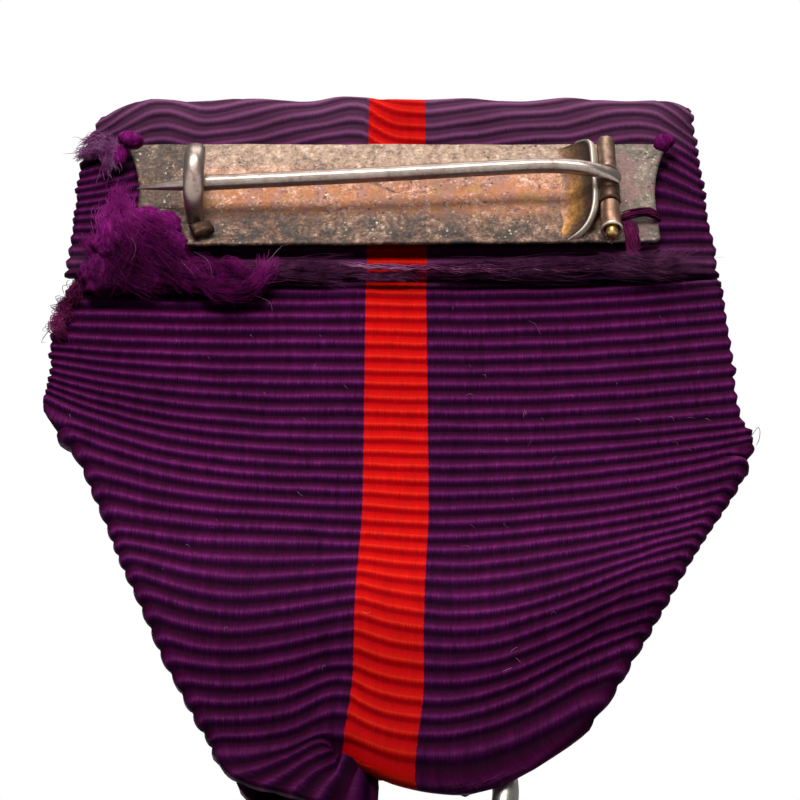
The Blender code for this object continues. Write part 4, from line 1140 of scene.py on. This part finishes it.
def make_hairs():
    """Stray fibres, a pale loop at the right shoulder and a few specks of lint."""
    rng = np.random.default_rng(31)
    lines, radii = [], []
    for _ in range(75):
        x, z = rng.uniform(-17.5, 17.5), rng.uniform(-36, -8)
        reach = (19 - max(0.0, -z - 20) * 0.62) * 0.94
        if abs(x) > reach:
            continue
        y = table(-z, (6, 0.95), (10, 0.75), (24, 0.35), (27, -0.05), (31, -0.98), (36, -0.72))
        heading = rng.uniform(0, TAU)
        step, bend = rng.uniform(0.03, 0.08), rng.normal() * 0.25
        line = []
        for k in range(8):
            line.append((x, y - 0.09 * math.sin(k / 7 * math.pi), z))
            x += step * math.cos(heading)
            z += step * math.sin(heading)
            heading += bend
        lines.append(line)
        radii.append(rng.uniform(0.006, 0.010))
    loop = [(18.8, 0.8, -18.4), (19.2, 0.6, -17.9), (19.35, 0.6, -17.7), (19.42, 0.6, -18.0),
            (19.3, 0.6, -18.6), (19.1, 0.6, -19.0)]
    lines.append(spline(loop, 18))
    radii.append(0.022)
    wisps = (((-11.5, -0.5, -5.4), (-10.6, -0.9, -6.6), (-10.3, -0.8, -7.9)),
             ((-7.4, -0.2, -6.0), (-6.6, -0.3, -4.8), (-6.2, -0.2, -4.5)),
             ((-12.2, -0.8, -6.4), (-11.6, -1.0, -7.4), (-11.2, -0.8, -7.9)),
             ((-7.9, -0.2, -8.6), (-7.1, -0.4, -9.3), (-6.9, -0.3, -9.9)),
             ((-15.0, -1.7, -5.4), (-14.6, -1.9, -6.6), (-14.9, -1.6, -7.6)),
             ((7.3, 0.75, -9.6), (7.7, 0.45, -10.2), (8.0, 0.7, -10.8)))
    for wisp in wisps:
        lines.append(spline(wisp, 12))
        radii.append(0.009)
    return strands("stray_hairs", lines, radii, LINT)


def make_tie():
    """Thread wound over the plate's lower right corner and gathered down to the ribbon."""
    rng = np.random.default_rng(8)
    lines, radii = [], []
    band = [(13.0, -0.2, -2.35), (13.5, -0.4, -2.3), (14.2, -0.45, -2.15), (14.8, -0.35, -2.15),
            (15.1, 0.05, -2.05), (15.05, 0.4, -1.9)]
    fall = [(13.4, -0.2, -2.7), (13.45, -0.38, -3.3), (13.5, -0.36, -4.1), (13.5, 0.1, -4.7),
            (13.5, 0.6, -5.3)]
    for route, count, spread in ((band, 90, (0.05, 0.10, 0.13)), (fall, 110, (0.19, 0.08, 0.08))):
        route = spline(route, 20)
        for _ in range(count):
            shift = rng.normal(size=3) * spread
            twist, start = rng.uniform(1.0, 2.2), rng.uniform(0, TAU)
            angle = np.linspace(start, start + twist * TAU, 20)
            swing = 0.07 * np.stack([np.cos(angle), 0.5 * np.sin(angle), np.sin(angle)], -1)
            lines.append(route + shift.clip(-1.8 * np.array(spread), 1.8 * np.array(spread)) + swing)
            radii.append(rng.uniform(0.025, 0.045))
    return strands("tie_threads", lines, radii, THREAD, 1)


def make_seam():
    """Long loose stitches along the foot of the flap."""
    rng = np.random.default_rng(12)
    lines, radii = [], []
    for start, end, z0, z1, count in ((-3.4, 6.2, -5.5, -5.75, 12), (-3.2, 3.6, -5.6, -5.9, 9),
                                      (-1.0, 6.6, -5.6, -6.0, 8), (-12.5, -3.4, -5.9, -5.8, 2),
                                      (6.5, 13.5, -6.0, -5.7, 2)):
        x = np.linspace(start, end, 44)
        share = np.linspace(0, 1, 44)
        bow = 4 * share * (1 - share)
        z = z0 + (z1 - z0) * share - 0.3 * bow + 0.03 * np.sin(x * 1.7)
        y = 0.36 - 0.12 * bow + 0.04 * np.sin(x * 2.3)
        for _ in range(count):
            sway = rng.normal(size=2) * 0.07
            twist = rng.uniform(0, TAU)
            lines.append(np.stack([x, y + sway[0] + 0.04 * np.cos(x * 6 + twist),
                                   z + sway[1] + 0.04 * np.sin(x * 6 + twist)], -1))
            radii.append(rng.uniform(0.018, 0.03))
    return strands("seam_stitches", lines, radii, SEAM, 1)


def make_flap_fringe():
    """Fuzz along the flap's cut edge, under the plate, darkened as painted shade."""
    return locks("flap_fringe", 17, (
        ([(-13, 0.55, -5.6), (-10, 0.5, -5.9), (-6, 0.5, -5.9), (-2.6, 0.5, -5.9)], 0.26, 420),
        ([(1.9, 0.5, -5.9), (5, 0.5, -5.8), (8, 0.5, -5.8), (11, 0.55, -5.7)], 0.26, 420),
        ([(-2.6, 0.6, -6.25), (-0.8, 0.55, -6.3), (0.6, 0.55, -6.3), (2.0, 0.6, -6.25)], 0.05, 110),
        ([(6, 0.5, -5.9), (10, 0.45, -5.8), (13, 0.4, -5.7), (17.0, 0.6, -5.4)], 0.28, 460),
        ([(11.5, 0.45, -5.0), (13, 0.2, -5.6), (14.6, 0.2, -5.8), (16.6, 0.4, -5.3)], 0.28, 300)),
        YARN_SHADED)


def make_edge_fuzz():
    """Tufts that stand out from the ribbon's worn left edge."""
    return locks("edge_fuzz", 19, (
        ([(-18.2, 0.7, -7.8), (-18.6, 0.5, -8.5), (-18.7, 0.4, -9.1), (-18.3, 0.5, -9.7)], 0.12, 120),
        ([(-18.4, 0.6, -9.2), (-18.8, 0.4, -9.9), (-18.9, 0.4, -10.6), (-18.5, 0.5, -11.2)], 0.12, 120),
        ([(-18.0, 0.6, -6.8), (-18.1, 0.3, -7.4), (-18.2, 0.3, -8.0), (-18.3, 0.5, -8.5)], 0.11, 80)),
        THREAD, 0.016)


attach(make_wing(), "brooch", "silk_yarn")
attach(make_edge_fuzz(), "brooch", "silk_yarn")
attach(make_corner_rolls(), "brooch", "silk_yarn")
attach(make_hairs(), "brooch", "silk_yarn")
attach(make_tie(), "brooch", "silk_yarn", "corner_tie")
attach(make_seam(), "brooch", "silk_yarn", "seam_thread")
attach(make_flap_fringe(), "brooch", "silk_yarn")


# ---------------------------------------------------------------- ring and pendant

RING_MIDDLE = (0.6, 1.15, -40.0)
DISC_MIDDLE = (0.6, 1.15, -66.9)
FRONT = (0, 1, 0)
FIELD, RIM_TOP, DISC_RADIUS = 0.9, 1.5, 18.0
RING_RADIUS, RING_WIRE = 4.55, 0.65
EYE_RADIUS, EYE_WIRE = 1.35, 0.45
NECK_TOP, NECK_LENGTH = -46.62, 2.2
COLLAR_LIFT = 1.80
WREATH_RADIUS, LEAF_STEP = 13.45, 12.4
LEAF_RIM = 36  # faces on the rim of one leaf
RAYS = PETALS = 8


def make_ring():
    """Round wire with its closed joint."""
    def worn(turn, radius, height):
        joint = bell(np.mod(turn - 1.1, TAU), 0, 0.012)
        return radius - 0.05 * joint * np.sign(radius - RING_RADIUS), height * (1 - 0.06 * joint)
    section = circle((RING_RADIUS, 0.0), RING_WIRE, 24)
    return turned("ring_wire", section, RING_MIDDLE, FRONT, SILVER, 180, worn)


def make_eye():
    section = circle((EYE_RADIUS, 0.0), EYE_WIRE, 20)
    centre = (RING_MIDDLE[0], RING_MIDDLE[1], RING_MIDDLE[2] - RING_RADIUS - 0.2)
    return turned("eye_wire", section, centre, (1, 0, 0), SILVER, 72)


def make_neck():
    profile = [(0, 0.0), (0.5, -0.02), (0.62, -0.12), (0.6, -0.3), (0.75, -0.42), (1.12, -0.6),
               (1.3, -0.82), (1.32, -1.0), (1.18, -1.2), (0.86, -1.4), (0.74, -1.55), (0.8, -1.7),
               (1.1, -1.88), (1.38, -2.05), (1.45, -NECK_LENGTH), (0, -NECK_LENGTH)]
    foot = DISC_MIDDLE[2] + DISC_RADIUS + 0.02
    share = (NECK_TOP - foot) / NECK_LENGTH
    return turned("neck_collar", [(r, h * share) for r, h in profile],
                  (RING_MIDDLE[0], RING_MIDDLE[1], NECK_TOP), (0, 0, 1), SILVER, 48)


def make_disc():
    """The medal's body: a stepped, beaded rim round a slightly dished field."""
    face = [(0, FIELD), (4, FIELD), (9, FIELD), (13, FIELD), (15.6, FIELD), (15.9, FIELD + 0.05),
            (16.05, FIELD + 0.38), (16.15, RIM_TOP - 0.12), (16.3, RIM_TOP), (16.6, RIM_TOP),
            (16.72, RIM_TOP - 0.14), (16.86, RIM_TOP - 0.16), (17.4, RIM_TOP - 0.16),
            (17.5, RIM_TOP - 0.14), (17.6, RIM_TOP), (17.82, RIM_TOP - 0.02), (17.95, RIM_TOP - 0.14),
            (18.0, RIM_TOP - 0.32), (17.98, 0.5)]
    profile = face + [(r, -h) for r, h in face[::-1]]
    return turned("disc_body", profile, DISC_MIDDLE, FRONT, SILVER, 216)


def spheres(name, places, radii, squash=1.0):
    """Many small domes whose axis is the medal's front, as one piece."""
    heap = Heap()
    way, faces = ball(5, 10)[:, [0, 2, 1]], tube_faces(5, 10)
    for spot, radius in zip(places, radii):
        heap.put(way * (radius, radius * squash, radius) + spot, faces)
    return heap.mesh(name, SILVER)


def on_disc(radius, turn, height):
    """Place on the pendant: turn 0 is up and rises clockwise as seen from the front."""
    return np.stack([DISC_MIDDLE[0] - radius * np.sin(turn), DISC_MIDDLE[1] + height + 0 * turn,
                     DISC_MIDDLE[2] + radius * np.cos(turn)], -1)


def make_beads(name, radius, count, size, height):
    return spheres(name, on_disc(radius, ring_of(count), height), [size] * count, 0.8)


def leaf(base, direction, size, lift):
    """One laurel leaf as a closed shell grid with a raised midrib."""
    rows, columns = 13, 7
    t = np.linspace(0, 1, rows)
    width = size * 0.27 * np.sin(np.pi * t**0.8) ** 0.8 + 0.02
    v = np.linspace(-1, 1, columns)
    out = np.array([direction[0], 0, direction[1]])
    side = np.array([-direction[1], 0, direction[0]])
    rise = lift * np.sin(np.pi * t * 0.9)[:, None] + 0.12 * (1 - np.abs(v)) - 0.10 * np.abs(v) ** 2
    return (np.asarray(base) + out * (size * t[:, None, None]) + side * (width[:, None] * v)[..., None]
            + np.array([0, 1, 0]) * rise[..., None])


def make_wreath():
    """Two laurel branches that rise from a tie at the foot and nearly meet at the top."""
    heap = Heap()
    for side in (-1, 1):
        for k in range(13):
            turn = side * math.radians(170 - LEAF_STEP * k)
            spot = on_disc(WREATH_RADIUS, np.array(turn), FIELD + 0.27)
            along = np.array([-math.cos(turn), -math.sin(turn)]) * -side
            outward = np.array([-math.sin(turn), math.cos(turn)])
            for lean, reach, lift in ((0.55, 2.25, 0.20), (-0.55, 2.25, 0.16), (0.0, 2.5, 0.34)):
                way = along + outward * lean
                way /= np.linalg.norm(way)
                base = spot + np.array([0, 0.04 * lift, 0])
                points, faces = closed_sheet(leaf(base, way, reach * (1 - 0.012 * k), lift), 0.09, 0.3)
                # The rim's faces are turned over, and the shading of the leaf's edge depends on it.
                faces[-LEAF_RIM:] = faces[-LEAF_RIM:, [0, 3, 2, 1]]
                heap.put(points, faces)
    return heap.mesh("wreath_leaves", SILVER)


def make_berries():
    """Berries among the leaves."""
    places = []
    for side in (-1, 1):
        for k in range(12):
            turn = np.array(side * math.radians(164 - LEAF_STEP * k))
            places.append(on_disc(WREATH_RADIUS + (0.95 if k % 2 else -0.95), turn, FIELD + 0.42))
    return spheres("wreath_berries", places, [0.27] * len(places))


def polar_relief(name, outline, height, base, rings=26, around=256):
    """A closed low relief on the pendant: outline(turn) is its edge, height(turn, share) its rise."""
    turn = ring_of(around)
    share = np.linspace(0, 1, rings + 1)[1:, None]
    edge = outline(turn)
    top = on_disc(edge * share, turn + 0 * share, 0.0)
    top[..., 1] += base + height(turn[None], share)
    peak = base + height(np.zeros((1, 1)), np.zeros((1, 1)))[0, 0]
    middle = np.array(0.0)
    points = np.vstack([top.reshape(-1, 3), on_disc(edge, turn, base), on_disc(0.0, middle, peak),
                        on_disc(0.0, middle, base)])
    return add_mesh(name, points, tube_faces(rings + 1, around), SILVER)


def zigzag(turn, count):
    """1 at each of count points round the circle and 0 halfway between."""
    share = np.mod(turn * count / TAU, 1.0)
    return np.abs(2 * share - 1)


def star_edge(turn):
    long = zigzag(turn, RAYS)
    return 7.5 + 4.0 * long**1.25


def star_rise(turn, share):
    ridge = zigzag(turn, RAYS)
    flutes = zigzag(turn, 5 * RAYS)
    rise = 0.16 + 0.64 * (1 - share) ** 0.8
    rise = rise * (0.55 + 0.45 * ridge) + 0.10 * flutes * ease(share, 0.35, 0.6) * (1 - 0.5 * share)
    return np.minimum(rise, 0.8) * (share < 0.999) + 0.08 * (share >= 0.999)


def make_collar():
    profile = [(4.8, 0.0), (4.8, 0.42), (4.9, 0.56), (5.05, 0.6), (5.18, 0.5), (5.24, 0.38),
               (5.56, 0.38), (5.62, 0.5), (5.75, 0.6), (5.9, 0.54), (6.0, 0.4), (6.0, 0.0)]
    middle = (DISC_MIDDLE[0], DISC_MIDDLE[1] + COLLAR_LIFT, DISC_MIDDLE[2])
    return turned("collar_ring", profile, middle, FRONT, SILVER, 144)


def boss_edge(turn):
    return 4.6 + 0 * turn


def boss_rise(turn, share):
    """A plain dome that carries a small eight-petalled flower."""
    dome = 0.16 + 0.30 * (1 - share**2)
    petal = np.abs(np.cos(turn * PETALS / 2)) ** 0.7
    inside = ease(0.62 * (0.35 + 0.65 * petal) - share, -0.03, 0.05)
    heart = ease(0.16 - share, -0.02, 0.05)
    vein = 1 - 0.35 * (1 - np.clip(np.abs(np.sin(turn * PETALS / 2)) * 6 * share, 0, 1))
    ring = bell(share, 0.80, 0.03)
    return dome + 0.16 * inside * vein + 0.12 * heart + 0.07 * ring


def make_reverse():
    profile = [(0, 0.0), (5, 0.0), (9.8, 0.0), (10.6, 0.03), (10.8, 0.02), (10.95, -0.10), (11.4, -0.10),
               (11.55, 0.02), (11.75, 0.05), (12.2, 0.04), (12.42, -0.06), (12.5, -0.2),
               (12.5, -0.8), (0, -0.8)]
    middle = (DISC_MIDDLE[0], DISC_MIDDLE[1] - 1.75, DISC_MIDDLE[2])
    return turned("reverse_plate", profile, middle, (0, -1, 0), SILVER, 144)


attach(make_ring(), "ring", "bright_silver", "suspension_ring")
for piece, *nodes in (
        (make_eye(), "suspension_eye"),
        (make_neck(), "suspension_neck"),
        (make_disc(), "medal_disc"),
        (make_wreath(), "obverse_wreath"),
        (make_berries(),),
        (make_beads("rim_beads_front", 17.12, 108, 0.24, RIM_TOP - 0.14),),
        (make_beads("rim_beads_rear", 17.12, 108, 0.24, -RIM_TOP + 0.14),),
        (polar_relief("star_rays", star_edge, star_rise, FIELD + 0.05), "obverse_star"),
        (make_collar(), "medallion_collar"),
        (make_beads("collar_beads", 5.4, 40, 0.19, COLLAR_LIFT + 0.42),),
        (polar_relief("medallion_flower", boss_edge, boss_rise, COLLAR_LIFT, rings=40), "obverse_medallion"),
        (make_reverse(), "reverse_medallion")):
    attach(piece, "pendant", "bright_silver", *nodes)


# ---------------------------------------------------------------- stage, light and camera


def area_light(name, place, aim, size, power, colour=(1, 1, 1)):
    data = bpy.data.lights.new(name, "AREA")
    data.shape = "RECTANGLE"
    data.size, data.size_y = size
    data.energy = power
    data.color = colour
    lamp = place_object(name, data)
    lamp.location = place
    lamp.visible_camera = False
    lamp.rotation_mode = "QUATERNION"
    lamp.rotation_quaternion = (Vector(aim) - Vector(place)).to_track_quat("-Z", "Y")


def make_floor():
    """A large pale floor whose glow rises away from the medal, so that it meets the white world."""
    side, height = 1500.0, -113.0
    n = Nodes("pale_floor")
    tone = n.noise(n.place(), 14, 3.0)
    away = n.make("ShaderNodeVectorMath", {0: n.place()}, operation="LENGTH").outputs["Value"]
    material = n.finish(base_color=n.ramp(tone, (0.3, 0.80), (0.7, 0.84)),
                        roughness=0.8, emission_color=(1.0, 1.0, 1.0),
                        emission_strength=n.ramp(away, (0.12, 0.0), (0.45, 0.55), (1.0, 0.75)))
    corners = [(-side, -side, height), (side, -side, height), (side, side, height), (-side, side, height)]
    floor = add_mesh("floor", corners, [(0, 1, 2, 3)], material, smooth=False)
    floor.visible_diffuse = False


def make_world():
    """A grey glow, brighter from above, that the camera sees as plain white."""
    world = bpy.data.worlds.new("studio")
    bpy.context.scene.world = world
    n = Nodes("studio", world)
    height = n.math("MULTIPLY_ADD", n.split(n.place("Generated"))[2], 0.5, 0.5)
    glow = n.tree.nodes["Background"]
    n.join(n.ramp(height, (0.25, (0.16, 0.16, 0.17)), (0.9, 1.0)), glow.inputs["Color"])
    n.join(0.30, glow.inputs["Strength"])
    seen = n.make("ShaderNodeBackground", {"Color": (1, 1, 1, 1), "Strength": 1.0})
    ray = n.make("ShaderNodeLightPath", {}).outputs["Is Camera Ray"]
    choose = n.make("ShaderNodeMixShader", {0: ray, 1: glow.outputs[0], 2: seen.outputs[0]})
    n.join(choose.outputs[0], n.tree.nodes["World Output"].inputs["Surface"])


def make_lights():
    aim = (0, 0, -0.02)
    area_light("key", (-0.05, -0.46, 0.17), aim, (0.24, 0.18), 2.2, (1.0, 0.985, 0.96))
    area_light("top", (0.05, -0.20, 0.48), aim, (0.4, 0.3), 0.9, (1.0, 0.95, 0.92))
    area_light("front", (-0.10, 0.55, 0.20), (0, 0, -0.05), (0.4, 0.4), 1.6)


def make_camera():
    data = bpy.data.cameras.new("camera")
    data.lens = 104.625
    data.sensor_width = 36
    data.clip_start = 0.005
    camera = place_object("camera", data)
    camera.location = (0.000175, -0.09289, -0.09992)
    camera.rotation_euler = (math.radians(90 + 42), 0, 0)
    bpy.context.scene.camera = camera


make_floor()
make_world()
make_lights()
make_camera()
bpy.context.scene.view_settings.view_transform = "Standard"
